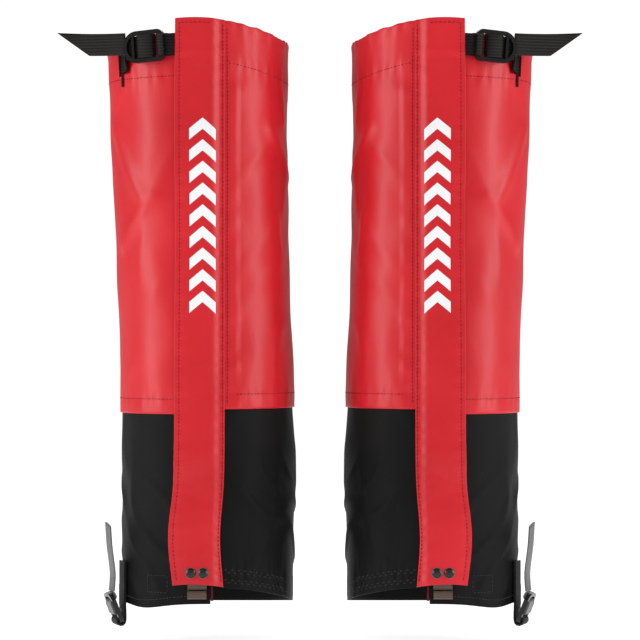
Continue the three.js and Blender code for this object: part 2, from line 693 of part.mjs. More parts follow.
// The web that holds the buckle is sewn in under the flap, lies on the outer panel, and goes
// round the buckle's fixed bar.
function buckleWeb() {
  const lock = topLockFrame();
  const toLock = lock.clone().invert();
  const startX = FLAP_SEWN_X - FLAP_SEAM_WIDTH - FLAP_STEP_WIDTH - WEB_INSIDE_FLAP;
  const pathOn = [];
  const endX = TOP_LOCK_CENTRE[0] + LOCK_TOP.length / 2 + WEB_LEAVES_PANEL;
  for (let step = 0; step <= 5; step += 1) {
    const x = THREE.MathUtils.lerp(startX, endX, step / 5);
    const out = 2 * GAP + HALF_WEB + 0.1;
    const p = onSleeve(angleAtX(x, BUCKLE_WEB_Z), BUCKLE_WEB_Z, out).applyMatrix4(toLock);
    pathOn.push([p.x, p.z]);
  }
  const barStart = -LOCK_TOP.length / 2;
  const barEnd = barStart + LOCK_END_BAR;
  // Round the bar's axis the loop keeps clear of its corners, so that the buckle can tilt.
  const middle = LOCK_TOP.thickness / 2;
  const loop = Math.hypot(LOCK_END_BAR, LOCK_TOP.thickness) / 2 + BAR_CLEARANCE + HALF_WEB;
  const axisU = (barStart + barEnd) / 2;
  const path = [...pathOn, [barStart - 1.2, middle - loop - 0.25]];
  for (let turn = -90; turn <= 90; turn += 30) {
    path.push([axisU + loop * Math.cos(rad(turn)), middle + loop * Math.sin(rad(turn))]);
  }
  path.push([barStart - 0.6, middle + loop]);
  return ribbonInLock(path, WEB_WIDTH).applyMatrix4(lock);
}

function barTack() {
  const [width, thickness, height] = BAR_TACK_SIZE;
  const x = SLIT_X - 1;
  const angle = angleAtX(x, BAR_TACK_Z);
  const n = outward(angle, BAR_TACK_Z);
  const at = onSleeve(angle, BAR_TACK_Z, GAP + thickness / 2);
  const tack = box(width, thickness, height).rotateZ(Math.atan2(n.y, n.x) + Math.PI / 2);
  return tack.translate(at.x, at.y, at.z);
}

// ---------------------------------------------------------------- stirrup

function stirrupAxes() {
  const facing = rad(STIRRUP_FACING);
  const out = new THREE.Vector3(-Math.sin(facing), -Math.cos(facing), 0);
  const back = new THREE.Vector3(-Math.cos(facing), Math.sin(facing), 0);
  const foot = onSleeve(rad(STIRRUP_ANGLE), HEM_SIDE_Z, BOOT_INSET);
  return { out, back, foot };
}

// A place beside the stirrup hardware: distance out of the wall, and height.
function stirrupPlane(geometry) {
  const { out, back, foot } = stirrupAxes();
  const up = new THREE.Vector3(0, 0, 1);
  // ribbon plane (x, y) becomes (out, up), and its width runs along the sleeve
  geometry.applyMatrix4(new THREE.Matrix4().makeBasis(out, up, back.clone().negate()));
  return geometry.translate(foot.x, foot.y, 0);
}

const TAB_OUT = 1.4; // clear of the wall's curve behind a flat tab
const TAB_THICKNESS = 1.5;
const STIRRUP_BAR_OUT = TAB_OUT + 2.95; // the fixed bar's axis, out from the wall
const STIRRUP_BAR_RADIUS = LOCK_STIRRUP.thickness / 2;

// A doubled web, sewn to the wall at its top, that goes round the buckle's fixed bar.
function stirrupTab() {
  const ring = STIRRUP_BAR_RADIUS + 0.75 + TAB_THICKNESS / 2;
  const path = [[TAB_OUT, TAB_TOP_Z], [TAB_OUT, 20], [TAB_OUT, HEM_SIDE_Z]];
  for (let turn = 200; turn <= 420; turn += 36) {
    path.push([STIRRUP_BAR_OUT + ring * Math.cos(rad(turn)), STIRRUP_BAR_Z + ring * Math.sin(rad(turn))]);
  }
  return stirrupPlane(ribbon(path, TAB_THICKNESS, STIRRUP_WEB_WIDTH, 30));
}

function stirrupLockFrame() {
  const { out, back, foot } = stirrupAxes();
  const tilt = rad(STIRRUP_LOCK_TILT);
  const up = new THREE.Vector3(0, 0, 1);
  const u = up.clone().multiplyScalar(Math.cos(tilt)).addScaledVector(out, Math.sin(tilt));
  const v = back.clone();
  const w = new THREE.Vector3().crossVectors(u, v);
  if (w.dot(out) < 0) v.negate();
  const outward3 = new THREE.Vector3().crossVectors(u, v);
  const barU = -LOCK_STIRRUP.length / 2 + LOCK_END_BAR / 2;
  const origin = foot.clone().setZ(STIRRUP_BAR_Z).addScaledVector(out, STIRRUP_BAR_OUT)
    .addScaledVector(u, -barU)
    .addScaledVector(outward3, -STIRRUP_BAR_RADIUS);
  return frameAt(origin.toArray(), u, v);
}

const STIRRUP_TAIL_W = -1.3 * GAP - STIRRUP_WEB_THICKNESS / 2;

// The strap wraps the first rung, lies over both rungs and leaves under the thumb end.
function stirrupTurn() {
  const [first, second] = LOCK_STIRRUP.rungs;
  const clear = GAP + STIRRUP_WEB_THICKNESS / 2;
  const middle = LOCK_STIRRUP.thickness / 2;
  const reach = Math.hypot(LOCK_RUNG, LOCK_RUNG_THICKNESS) / 2 + clear;
  const over = middle + LOCK_RUNG_THICKNESS / 2 + clear + 0.1;
  const path = [[first + 0.8, middle - reach]];
  for (let turn = 250; turn >= 110; turn -= 35) {
    path.push([first + reach * Math.cos(rad(turn)), middle + reach * Math.sin(rad(turn))]);
  }
  path.push(
    [first + 1, over],
    [second - 0.2, over],
    [second + LOCK_RUNG / 2 + 0.7, over - 0.5],
    [second + LOCK_RUNG / 2 + 1.8, 1.1],
    [second + LOCK_RUNG / 2 + 2.9, STIRRUP_TAIL_W - 0.1],
    [LOCK_STIRRUP.length / 2 - 1, STIRRUP_TAIL_W],
  );
  const piece = ribbon(path, STIRRUP_WEB_THICKNESS, STIRRUP_WEB_WIDTH, 32);
  return intoLockPlane(piece).applyMatrix4(stirrupLockFrame());
}

// Where the tail begins, as distance out from the wall and height.
function stirrupTailFoot() {
  const { out, foot } = stirrupAxes();
  const start = new THREE.Vector3(LOCK_STIRRUP.length / 2 - 1, 0, STIRRUP_TAIL_W);
  start.applyMatrix4(stirrupLockFrame());
  return [start.clone().sub(foot).dot(out), start.z + STIRRUP_TAIL_GAP];
}

// The tail stands up beside the boot and leans out at its top.
function stirrupTail() {
  const [footOut, footZ] = stirrupTailFoot();
  const topOut = STIRRUP_TAIL_TOP_OUT;
  const share = (part) => THREE.MathUtils.lerp(footZ, STIRRUP_TAIL_TOP_Z, part);
  const path = [
    [footOut, footZ],
    [footOut - 0.6, share(0.12)],
    [footOut - 0.7, share(0.3)],
    [(footOut + topOut) / 2 + 0.2, share(0.66)],
    [topOut, STIRRUP_TAIL_TOP_Z],
  ];
  return stirrupPlane(ribbon(path, STIRRUP_WEB_THICKNESS, STIRRUP_WEB_WIDTH, 9));
}

// The strap goes round the outside of the heel from the buckle to its sewn inner end.
function stirrupStrap() {
  const inner = BOOT_INSET + STIRRUP_RUN_GAP;
  const place = (u, v, depth) => {
    const angle = rad(THREE.MathUtils.lerp(STIRRUP_RUN_START, STIRRUP_RUN_END, u));
    const middle = THREE.MathUtils.lerp(STIRRUP_RUN_START_Z, STIRRUP_RUN_END_Z, u);
    const z = middle + (v - 0.5) * STIRRUP_WEB_WIDTH;
    return onSleeve(angle, z, inner + STIRRUP_WEB_THICKNESS - depth);
  };
  // The run goes against the angle, so the slab's faces are swapped.
  return slab(20, 1, (u, v) => place(u, v, STIRRUP_WEB_THICKNESS), (u, v) => place(u, v, 0));
}

function hemElastic() {
  return sleeveBand({
    from: (z) => innerFront(z) + ELASTIC_START,
    to: () => rad(ELASTIC_END),
    bottom: (a) => innerHem(a) + ELASTIC_HEM_OFFSET,
    top: (a) => innerHem(a) + ELASTIC_HEM_OFFSET + ELASTIC_WIDTH,
    out: () => BOOT_INSET - WALL - GAP,
    thickness: ELASTIC_THICKNESS,
    columns: 8,
    rows: 1,
  });
}

// ---------------------------------------------------------------- the pair

const finish = (color, roughness, metalness = 0) => ({ color, roughness, metalness });
const RED_CLOTH = finish(0xd02a34, 0.62);
const BLACK_CLOTH = finish(0x1d1b1c, 0.7);
const BLACK_WEB = finish(0x1b1a19, 0.75);
const BLACK_PLASTIC = finish(0x121213, 0.35);
const RUBBERY_WEB = finish(0x6e6e70, 0.4);
const MAROON_TAPE = finish(0x5c1a20, 0.7);
const STEEL = finish(0xc8c8c6, 0.25, 1);
const GUNMETAL = finish(0x2c2b2a, 0.4, 0.8);

function pieces() {
  const [outerRivetX, innerRivetX] = rivetPlaces();
  return [
    ['upper_outer_panel', upperOuterPanel(), RED_CLOTH],
    ['upper_inner_panel', upperInnerPanel(), RED_CLOTH],
    ['boot_outer_panel', bootOuterPanel(), BLACK_CLOTH],
    ['boot_inner_panel', bootInnerPanel(), BLACK_CLOTH],
    ['casing_facing_outer', casingFacing('outer'), RED_CLOTH],
    ['casing_facing_inner', casingFacing('inner'), RED_CLOTH],
    ['front_binding', frontBinding(), MAROON_TAPE],
    ['loop_tape', loopTape(), BLACK_WEB],
    ['flap', flap(), RED_CLOTH],
    ['hook_tape', hookTape(), BLACK_WEB],
    ['lace_hook', laceHook(), STEEL],
    ['rivet_outer', rivet(outerRivetX), GUNMETAL],
    ['rivet_inner', rivet(innerRivetX), GUNMETAL],
    ['rivet_washer_outer', rivetWasher(outerRivetX), STEEL],
    ['rivet_washer_inner', rivetWasher(innerRivetX), STEEL],
    ['top_strap', topStrap(), BLACK_WEB],
    ['top_buckle_web', buckleWeb(), BLACK_WEB],
    ['top_buckle', ladderLock(LOCK_TOP).applyMatrix4(topLockFrame()), BLACK_PLASTIC],
    ['top_strap_turn', topStrapTurn(), BLACK_WEB],
    ['top_strap_tail', topStrapTail(), BLACK_WEB],
    ['bar_tack', barTack(), BLACK_WEB],
    ['stirrup_tab', stirrupTab(), BLACK_WEB],
    ['stirrup_buckle', ladderLock(LOCK_STIRRUP).applyMatrix4(stirrupLockFrame()), BLACK_PLASTIC],
    ['stirrup_turn', stirrupTurn(), RUBBERY_WEB],
    ['stirrup_strap', stirrupStrap(), RUBBERY_WEB],
    ['stirrup_tail', stirrupTail(), RUBBERY_WEB],
    ['hem_elastic', hemElastic(), BLACK_WEB],
  ];
}

const pair = new THREE.Group();
for (const side of ['left', 'right']) {
  const gaiter = new THREE.Group();
  for (const [name, geometry, look] of pieces()) {
    const shape = rightSideOut(side === 'left' ? geometry : geometry.scale(-1, 1, 1));
    shape.computeVertexNormals();
    const mesh = new THREE.Mesh(shape, new THREE.MeshStandardMaterial(look));
    mesh.name = `${side}_${name}`;
    gaiter.add(mesh);
  }
  pair.add(gaiter);
}

export default pair;
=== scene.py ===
import math

import bmesh
import bpy
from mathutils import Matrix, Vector, noise


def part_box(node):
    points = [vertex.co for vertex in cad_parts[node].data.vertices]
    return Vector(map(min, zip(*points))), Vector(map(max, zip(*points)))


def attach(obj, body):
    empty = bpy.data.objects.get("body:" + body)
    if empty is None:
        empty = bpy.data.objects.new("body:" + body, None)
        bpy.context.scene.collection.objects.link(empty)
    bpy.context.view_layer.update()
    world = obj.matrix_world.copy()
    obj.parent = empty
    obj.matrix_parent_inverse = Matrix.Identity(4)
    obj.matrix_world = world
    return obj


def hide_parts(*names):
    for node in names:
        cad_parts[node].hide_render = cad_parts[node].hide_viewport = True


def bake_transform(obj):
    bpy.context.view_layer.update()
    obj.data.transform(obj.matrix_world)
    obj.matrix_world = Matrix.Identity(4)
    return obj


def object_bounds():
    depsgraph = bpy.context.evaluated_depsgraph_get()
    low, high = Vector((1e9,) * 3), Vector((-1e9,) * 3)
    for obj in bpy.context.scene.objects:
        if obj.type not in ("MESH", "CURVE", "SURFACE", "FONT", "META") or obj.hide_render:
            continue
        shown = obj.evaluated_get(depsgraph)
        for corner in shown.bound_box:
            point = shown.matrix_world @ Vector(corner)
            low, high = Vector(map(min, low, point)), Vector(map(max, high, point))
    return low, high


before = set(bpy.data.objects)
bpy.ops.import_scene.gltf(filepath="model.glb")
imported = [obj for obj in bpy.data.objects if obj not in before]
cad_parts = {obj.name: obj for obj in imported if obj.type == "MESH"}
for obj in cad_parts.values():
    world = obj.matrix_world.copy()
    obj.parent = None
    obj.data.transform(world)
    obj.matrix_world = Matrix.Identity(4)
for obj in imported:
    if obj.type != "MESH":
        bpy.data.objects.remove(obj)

cad_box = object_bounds()

# ---------------------------------------------------------------- camera, light and floor
# A level camera at half the height of the pair, far away so that both gaiters are seen square on.
# Two tall soft lights at the sides make the coated cloth shine along the edges of each leg, and
# two more light the front and the back. The floor is a pale round sheet just under the straps.

camera_data = bpy.data.cameras.new("camera")
camera_data.sensor_width = 36
camera_data.lens = 173
camera = bpy.data.objects.new("camera", camera_data)
camera.location = (0, -2.2, 0.204)
camera.rotation_euler = (math.pi / 2, 0, 0)
bpy.context.collection.objects.link(camera)
bpy.context.scene.camera = camera


def soft_light(name, place, aim, width, height, watts):
    data = bpy.data.lights.new(name, "AREA")
    data.shape = "RECTANGLE"
    data.size = width
    data.size_y = height
    data.energy = watts
    light = bpy.data.objects.new(name, data)
    light.location = place
    light.rotation_euler = (Vector(aim) - Vector(place)).to_track_quat("-Z", "Y").to_euler()
    bpy.context.collection.objects.link(light)


soft_light("light_left", (-1.5, -0.55, 0.45), (0, 0, 0.26), 0.35, 1.1, 13)
soft_light("light_right", (1.5, -0.55, 0.45), (0, 0, 0.26), 0.35, 1.1, 13)
soft_light("light_front", (0, -1.9, 1.5), (0, 0, 0.2), 1.2, 0.7, 8)
soft_light("light_back", (0, 1.8, 1.2), (0, 0, 0.2), 1.6, 0.9, 8)

world = bpy.data.worlds.new("white_room")
world.use_nodes = True
room = world.node_tree.nodes["Background"]
room.inputs["Color"].default_value = (1, 1, 1, 1)
room.inputs["Strength"].default_value = 0.28
seen = world.node_tree.nodes.new("ShaderNodeBackground")
seen.inputs["Color"].default_value = (1, 1, 1, 1)
seen.inputs["Strength"].default_value = 1.05
ray = world.node_tree.nodes.new("ShaderNodeLightPath")
either = world.node_tree.nodes.new("ShaderNodeMixShader")
sky = world.node_tree.nodes["World Output"]
world.node_tree.links.new(ray.outputs["Is Camera Ray"], either.inputs[0])
world.node_tree.links.new(room.outputs[0], either.inputs[1])
world.node_tree.links.new(seen.outputs[0], either.inputs[2])
world.node_tree.links.new(either.outputs[0], sky.inputs["Surface"])
bpy.context.scene.world = world
bpy.context.scene.view_settings.view_transform = "Standard"

floor_mesh = bpy.data.meshes.new("floor")
floor_form = bmesh.new()
bmesh.ops.create_circle(floor_form, cap_ends=True, segments=96, radius=3.0)
floor_form.to_mesh(floor_mesh)
floor_form.free()
floor = bpy.data.objects.new("floor", floor_mesh)
floor.location.z = cad_box[0][2] - 0.012
bpy.context.collection.objects.link(floor)
pale = bpy.data.materials.new("pale_floor")
pale.use_nodes = True
paint = pale.node_tree.nodes["Principled BSDF"]
paint.inputs["Base Color"].default_value = (0.6, 0.6, 0.6, 1)
paint.inputs["Roughness"].default_value = 0.9
paint.inputs["Specular IOR Level"].default_value = 0.0
paint.inputs["Emission Color"].default_value = (1, 1, 1, 1)
paint.inputs["Emission Strength"].default_value = 0.86
floor_mesh.materials.append(pale)

# ---------------------------------------------------------------- red upper panels
# Each leg is a sleeve of coated red nylon in two halves, an outer and an inner one. It is sewn
# down the back and closed at the front under the flap, and its top edge is turned in as a casing.
# The leg fills it out, so it is smooth but for broad slack folds and sewn puckers.

SIDES = {"left": 1, "right": -1}  # the right gaiter is the left one with x turned round
STEP = 0.002  # cloth grid
CLOTH = 0.0012

BOOT_CENTRE_X = -0.0803
LEAN_FROM_Z = 0.110
LEAN = 0.0245
HALF_WIDTHS = [(0.0, 0.0624), (0.110, 0.0626), (0.190, 0.0615), (0.261, 0.0618), (0.420, 0.0650)]
DEPTH_RATIO = 0.91
GIRTH_RADIUS = 0.0605  # for lengths round the leg

OUTER_EDGE_X = -0.0763
INNER_EDGE_X = -0.0700
CLOSURE_X = -0.0835  # middle of the closure, under the flap
SEAM_BAND_X = (-0.0672, -0.0562)  # doubled strip of the inner panel beside the flap
BUCKLE_ANGLE = -0.62
STIRRUP_ANGLE = -1.28
UNDER_STRAP_TOP = 0.036  # the stirrup strap lies on the cloth below this, behind the leg
SEAM_Z = 0.140
SEAM_MISMATCH = 0.0018  # inner panels end higher, outer ones lower
SEAM_ROW = 0.0105  # stitching above the red panel's lower edge
RIM_Z = 0.401
RIM_FRONT_RISE = 0.013
RIM_STEP = 0.005  # the outer half's rim is this much lower than the inner half's
RIM_DIP = 0.0055  # and dips a little more beside the flap
CASING_DEPTH = 0.029
CASING_ROW_Z = 0.3745
CASING_FROM_Z = 0.364  # the folds are held flat from here up
SLIT_X = -0.1375
SLIT_SIZE = (0.009, 0.0176)


def half_width(z):
    for (z0, w0), (z1, w1) in zip(HALF_WIDTHS, HALF_WIDTHS[1:]):
        if z <= z1:
            break
    share = (z - z0) / (z1 - z0)
    return w0 + (w1 - w0) * share


def centre_x(z):
    return BOOT_CENTRE_X - LEAN * max(0.0, z - LEAN_FROM_Z)


# Angle 0 is the front of the leg, and it grows towards the inner side of the leg.
def outward(angle, z):
    a = half_width(z)
    return Vector((math.sin(angle) / a, -math.cos(angle) / (a * DEPTH_RATIO), 0)).normalized()


def on_leg(angle, z, out=0.0):
    a = half_width(z)
    at = Vector((centre_x(z) + a * math.sin(angle), -a * DEPTH_RATIO * math.cos(angle), z))
    return at + outward(angle, z) * out


def angle_at(x, z):
    return math.asin((x - centre_x(z)) / half_width(z))


def bell(distance, reach):
    return math.exp(-(distance / reach) ** 2)


def smooth(t):
    t = max(0.0, min(1.0, t))
    return t * t * (3 - 2 * t)


def front_share(angle):
    return max(0.0, math.cos(angle))


def back_share(angle):
    return max(0.0, -math.cos(angle))


def inner_rim(angle):
    return RIM_Z + RIM_FRONT_RISE * front_share(angle) ** 2


def outer_rim(angle):
    step = RIM_STEP * (1 - back_share(angle))
    return inner_rim(angle) - step - RIM_DIP * bell(angle + 0.08, 0.45)


def inner_seam(angle):
    return SEAM_Z + SEAM_MISMATCH * (1 - back_share(angle))


def outer_seam(angle):
    return SEAM_Z - SEAM_MISMATCH * (1 - back_share(angle))


def strap_z(angle):
    rim = inner_rim(angle) if math.sin(angle) >= 0 else outer_rim(angle)
    return rim - CASING_DEPTH / 2


# The lower stitching of the casing is nearly level on the outer half.
def outer_casing_row(angle):
    return CASING_ROW_Z - 0.0021 * min(1.0, -angle / 1.57)


def inner_casing_row(angle):
    return inner_rim(angle) - CASING_DEPTH


# The longest folds of the red cloth run aslant: angle and height of both ends, width, height.
FOLDS = [
    (-1.20, 0.338, -0.72, 0.292, 0.0060, 0.0018),
    (-0.55, 0.290, -1.10, 0.258, 0.0060, 0.0012),
    (0.94, 0.338, 1.43, 0.3056, 0.0055, 0.0013),
    (1.20, 0.366, 1.26, 0.344, 0.0030, 0.0008),
    (1.07, 0.278, 1.14, 0.254, 0.0030, 0.0008),
]


def folds(angle, z):
    lift = 0.0
    for angle0, z0, angle1, z1, width, height in FOLDS:
        run = (angle1 - angle0) * GIRTH_RADIUS, z1 - z0
        to = (angle - angle0) * GIRTH_RADIUS, z - z0
        share = max(0.0, min(1.0, (to[0] * run[0] + to[1] * run[1]) / (run[0] ** 2 + run[1] ** 2)))
        off = math.hypot(to[0] - run[0] * share, to[1] - run[1] * share)
        lift += height * bell(off, width)
    return lift


# How far the slack cloth stands off the plain sleeve. All layers of the leg share it, so they
# stay in order. It fades out under the flap and where hardware is sewn on.
def slack(angle, z):
    round_x, round_y = math.sin(angle), math.cos(angle)
    broad = noise.noise(Vector((round_x * 1.5, round_y * 1.5, z * 9 + 3.1)))
    drape = noise.noise(Vector((round_x * 2.6 + z * 14, round_y * 2.6, z * 18 + 8.4)))
    ridge = bell(noise.noise(Vector((round_x * 1.8 - z * 14, round_y * 1.8 + 5.2, z * 13))), 0.2)
    lift = 0.0017 * broad + 0.0009 * drape + 0.0005 * ridge + folds(angle, z)
    near_front = bell(angle - angle_at(CLOSURE_X, z), 0.33)
    near_buckle = bell(angle - BUCKLE_ANGLE, 0.5) * (1 if z > 0.392 else bell(z - 0.392, 0.022))
    near_stirrup = bell(angle - STIRRUP_ANGLE, 0.3) * (1 if z < 0.03 else bell(z - 0.03, 0.02))
    in_casing = smooth((z - CASING_FROM_Z) / 0.011)
    under_strap = smooth((0.12 - round_y) / 0.2) * smooth((UNDER_STRAP_TOP - z) / 0.014)
    lift *= (1 - 0.9 * in_casing) * (1 - 0.97 * under_strap)
    return lift * (1 - 0.93 * near_front) * (1 - 0.95 * near_buckle) * (1 - 0.9 * near_stirrup)


# Sewing draws the cloth in along a line, and leaves a ripple of small puckers beside it.
def pucker(along, off, depth, pitch, reach):
    uneven = 0.7 * noise.noise(Vector((along * 55, 0.3, off * 40)))
    ripple = math.sin(2 * math.pi * (along / pitch + uneven))
    return depth * (ripple * math.exp(-abs(off) / reach) - 0.8 * bell(off, 0.0011))


# Beside the flap the inner panel is doubled for 9 mm. The fold stands up a little, with a wavy
# edge, and is dimpled by the two rows of stitching.
def seam_band(along, z):
    wavy = 0.0011 * noise.noise(Vector((z * 42, 7.1, 0.4)))
    inside = smooth((angle_at(SEAM_BAND_X[1], z) * GIRTH_RADIUS - along + wavy) / 0.0022)
    outside = smooth((along - angle_at(SEAM_BAND_X[0], z) * GIRTH_RADIUS) / 0.0022)
    dimple = noise.noise(Vector((z * 120, along * 45, 2.2)))
    return inside * outside * (0.0006 + 0.00055 * dimple) * smooth((0.392 - z) / 0.01)


def red_relief(angle, z):
    rim = inner_rim(angle) if angle > 0 else outer_rim(angle)
    row = inner_casing_row(angle) if angle > 0 else outer_casing_row(angle)
    seam = inner_seam(angle) if angle > 0 else outer_seam(angle)
    along = angle * GIRTH_RADIUS
    lift = slack(angle, z)
    lift += pucker(along, z - row, 0.00030, 0.0085, 0.005)
    lift += pucker(along, z - (seam + SEAM_ROW), 0.00022, 0.010, 0.005)
    lift += 0.0004 * bell(z - rim + 0.002, 0.0025)  # turned edge, a little fuller
    lift += pucker(along, z - rim + 0.001, 0.00035, 0.014, 0.008)
    if angle > 0:
        lift += seam_band(along, z)
    return lift


def mirrored(point, side):
    return Vector((point.x * SIDES[side], point.y, point.z))


# A cloth panel from one angle to another and from its lower edge to its upper edge.
# Its map is flat: metres round the leg and metres up it.
def panel(name, side, start, end, bottom, top, relief, out=0.0, thick=CLOTH, slit=None):
    middle = 0.5 * (bottom(start(0.2)) + top(start(0.2)))
    round_steps = max(1, round(abs(end(middle) - start(middle)) * GIRTH_RADIUS / STEP))
    up_steps = max(1, round((top(end(middle)) - bottom(end(middle))) / STEP))
    form = bmesh.new()
    flat = form.loops.layers.uv.new("flat")
    grid = []
    for i in range(up_steps + 1):
        row = []
        for j in range(round_steps + 1):
            share = j / round_steps
            angle = start(middle) + (end(middle) - start(middle)) * share
            z = bottom(angle) + (top(angle) - bottom(angle)) * i / up_steps
            angle = start(z) + (end(z) - start(z)) * share
            place = on_leg(angle, z, out + relief(angle, z))
            row.append((form.verts.new(mirrored(place, side)), angle, z))
        grid.append(row)
    for low, high in zip(grid, grid[1:]):
        for j in range(round_steps):
            corners = [low[j], low[j + 1], high[j + 1], high[j]]
            angle = sum(c[1] for c in corners) / 4
            z = sum(c[2] for c in corners) / 4
            if slit and slit(angle, z):
                continue
            if SIDES[side] < 0:
                corners.reverse()
            face = form.faces.new([c[0] for c in corners])
            face.smooth = True
            for loop, corner in zip(face.loops, corners):
                loop[flat].uv = (corner[1] * GIRTH_RADIUS, corner[2])
    bmesh.ops.delete(form, geom=[v for v in form.verts if not v.link_faces], context="VERTS")
    area = sum(face.calc_area() for face in form.faces)
    mesh = bpy.data.meshes.new(name)
    form.to_mesh(mesh)
    form.free()
    piece = bpy.data.objects.new(name, mesh)
    bpy.context.collection.objects.link(piece)
    body = piece.modifiers.new("cloth", "SOLIDIFY")
    body.thickness = thick
    body.offset = -1
    edge = piece.modifiers.new("turned_edge", "BEVEL")
    edge.width = thick * 0.3
    edge.segments = 2
    edge.limit_method = "ANGLE"
    edge.angle_limit = math.radians(50)
    return piece, area


def link(material, a, b):
    material.node_tree.links.new(a, b)


# Plain-woven nylon. Threads cross at the stated pitch, and the colour is a little uneven.
def woven(name, colour, deep, pitch, roughness, shine, sheen, bump, slub=0.3):
    material = bpy.data.materials.new(name)
    material.use_nodes = True
    nodes = material.node_tree.nodes
    skin = nodes["Principled BSDF"]
    skin.inputs["Specular IOR Level"].default_value = shine
    skin.inputs["Sheen Weight"].default_value = sheen
    skin.inputs["Sheen Roughness"].default_value = 0.35
    where = nodes.new("ShaderNodeUVMap")
    where.uv_map = "flat"
    space = nodes.new("ShaderNodeTexCoord")
    weave = []
    for direction in ("X", "Y"):
        wave = nodes.new("ShaderNodeTexWave")
        wave.bands_direction = direction
        wave.inputs["Scale"].default_value = 0.314 / pitch
        wave.inputs["Distortion"].default_value = 0.4
        link(material, where.outputs["UV"], wave.inputs["Vector"])
        weave.append(wave)
    cross = nodes.new("ShaderNodeMath")
    cross.operation = "MAXIMUM"
    link(material, weave[0].outputs["Fac"], cross.inputs[0])
    link(material, weave[1].outputs["Fac"], cross.inputs[1])
    cloud = nodes.new("ShaderNodeTexNoise")
    cloud.inputs["Scale"].default_value = 14
    cloud.inputs["Detail"].default_value = 5
    link(material, space.outputs["Object"], cloud.inputs["Vector"])
    fine = nodes.new("ShaderNodeTexNoise")
    fine.inputs["Scale"].default_value = 900
    fine.inputs["Detail"].default_value = 3
    link(material, space.outputs["Object"], fine.inputs["Vector"])
    shade = nodes.new("ShaderNodeMix")
    shade.data_type = "RGBA"
    shade.inputs["A"].default_value = (*deep, 1)
    shade.inputs["B"].default_value = (*colour, 1)
    blend = nodes.new("ShaderNodeMapRange")
    blend.inputs["From Min"].default_value = 0.3
    blend.inputs["From Max"].default_value = 0.7
    link(material, cloud.outputs["Fac"], blend.inputs["Value"])
    link(material, blend.outputs["Result"], shade.inputs["Factor"])
    threads = nodes.new("ShaderNodeMix")
    threads.data_type = "RGBA"
    threads.blend_type = "MULTIPLY"
    threads.inputs["Factor"].default_value = slub
    link(material, shade.outputs["Result"], threads.inputs["A"])
    link(material, cross.outputs[0], threads.inputs["B"])
    link(material, threads.outputs["Result"], skin.inputs["Base Color"])
    rough = nodes.new("ShaderNodeMapRange")
    rough.inputs["To Min"].default_value = roughness - 0.06
    rough.inputs["To Max"].default_value = roughness + 0.08
    link(material, fine.outputs["Fac"], rough.inputs["Value"])
    link(material, rough.outputs["Result"], skin.inputs["Roughness"])
    raised = nodes.new("ShaderNodeBump")
    raised.inputs["Strength"].default_value = bump
    raised.inputs["Distance"].default_value = 0.00015
    link(material, cross.outputs[0], raised.inputs["Height"])
    link(material, raised.outputs["Normal"], skin.inputs["Normal"])
    return material


RED = (0.64, 0.009, 0.018)
RED_DEEP = (0.53, 0.005, 0.011)
red_nylon = woven("red_nylon", RED, RED_DEEP, 0.0005, 0.41, 0.26, 0.03, 0.2, slub=0.10)
coating = red_nylon.node_tree.nodes["Principled BSDF"]
coating.inputs["Sheen Tint"].default_value = (1, 0.62, 0.66, 1)
coating.inputs["Coat Weight"].default_value = 0.16
coating.inputs["Coat Roughness"].default_value = 0.30


def finish_cloth(piece, material, slot, side, body, *nodes):
    piece.data.materials.append(material)
    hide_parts(*[f"{side}_{node}" for node in nodes])
    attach(piece, f"{side}_{body}")


def in_slit(angle, z):
    x = on_leg(angle, z).x
    inside = abs(x - SLIT_X) < SLIT_SIZE[0] / 2 and abs(z - strap_z(angle)) < SLIT_SIZE[1] / 2
    return inside and angle > -1.6


# The turned rim is gathered a little by its elastic thread, so that its edge ripples.
def rippled(rim):
    return lambda angle: rim(angle) + 0.0008 * noise.noise(Vector((angle * 12, 0.5, 2.1)))


HALF_TURN = math.pi
for side in SIDES:
    outer, area = panel(
        f"{side}_red_outer", side, lambda z: -HALF_TURN, lambda z: angle_at(OUTER_EDGE_X, z),
        outer_seam, rippled(outer_rim), red_relief, slit=in_slit,
    )
    finish_cloth(outer, red_nylon, "red_cloth", side, "sleeve", "upper_outer_panel")
    inner, area = panel(
        f"{side}_red_inner", side, lambda z: angle_at(INNER_EDGE_X, z), lambda z: HALF_TURN,
        inner_seam, rippled(inner_rim), red_relief,
    )
    finish_cloth(inner, red_nylon, "red_cloth", side, "sleeve", "upper_inner_panel")

# ---------------------------------------------------------------- machine stitching
# Lines of polyester thread. Each stitch is a short bead of thread that dips into the cloth at
# both ends, so a line of them reads as small dashes in a shallow groove.

STITCH = 0.0027
STITCH_THREAD = 0.00028
STITCH_RISE = (-0.6, 0.5, 0.8, 0.5, -0.6)  # of the thread's radius, along one stitch
STITCH_GIRTH = (0.35, 0.85, 1, 0.85, 0.35)
BACK_ROW_ANGLE = 0.05  # from the back seam
BACK_ROW_FROM = 0.143
BACK_ROW_LENGTH = 0.254


def thread(name, colour):
    material = bpy.data.materials.new(name)
    material.use_nodes = True
    nodes = material.node_tree.nodes
    skin = nodes["Principled BSDF"]
    skin.inputs["Roughness"].default_value = 0.6
    skin.inputs["Specular IOR Level"].default_value = 0.25
    space = nodes.new("ShaderNodeTexCoord")
    twist = nodes.new("ShaderNodeTexNoise")
    twist.inputs["Scale"].default_value = 2500
    link(material, space.outputs["Object"], twist.inputs["Vector"])
    shade = nodes.new("ShaderNodeMix")
    shade.data_type = "RGBA"
    shade.inputs["A"].default_value = (*[0.6 * c for c in colour], 1)
    shade.inputs["B"].default_value = (*colour, 1)
    link(material, twist.outputs["Fac"], shade.inputs["Factor"])
    link(material, shade.outputs["Result"], skin.inputs["Base Color"])
    return material


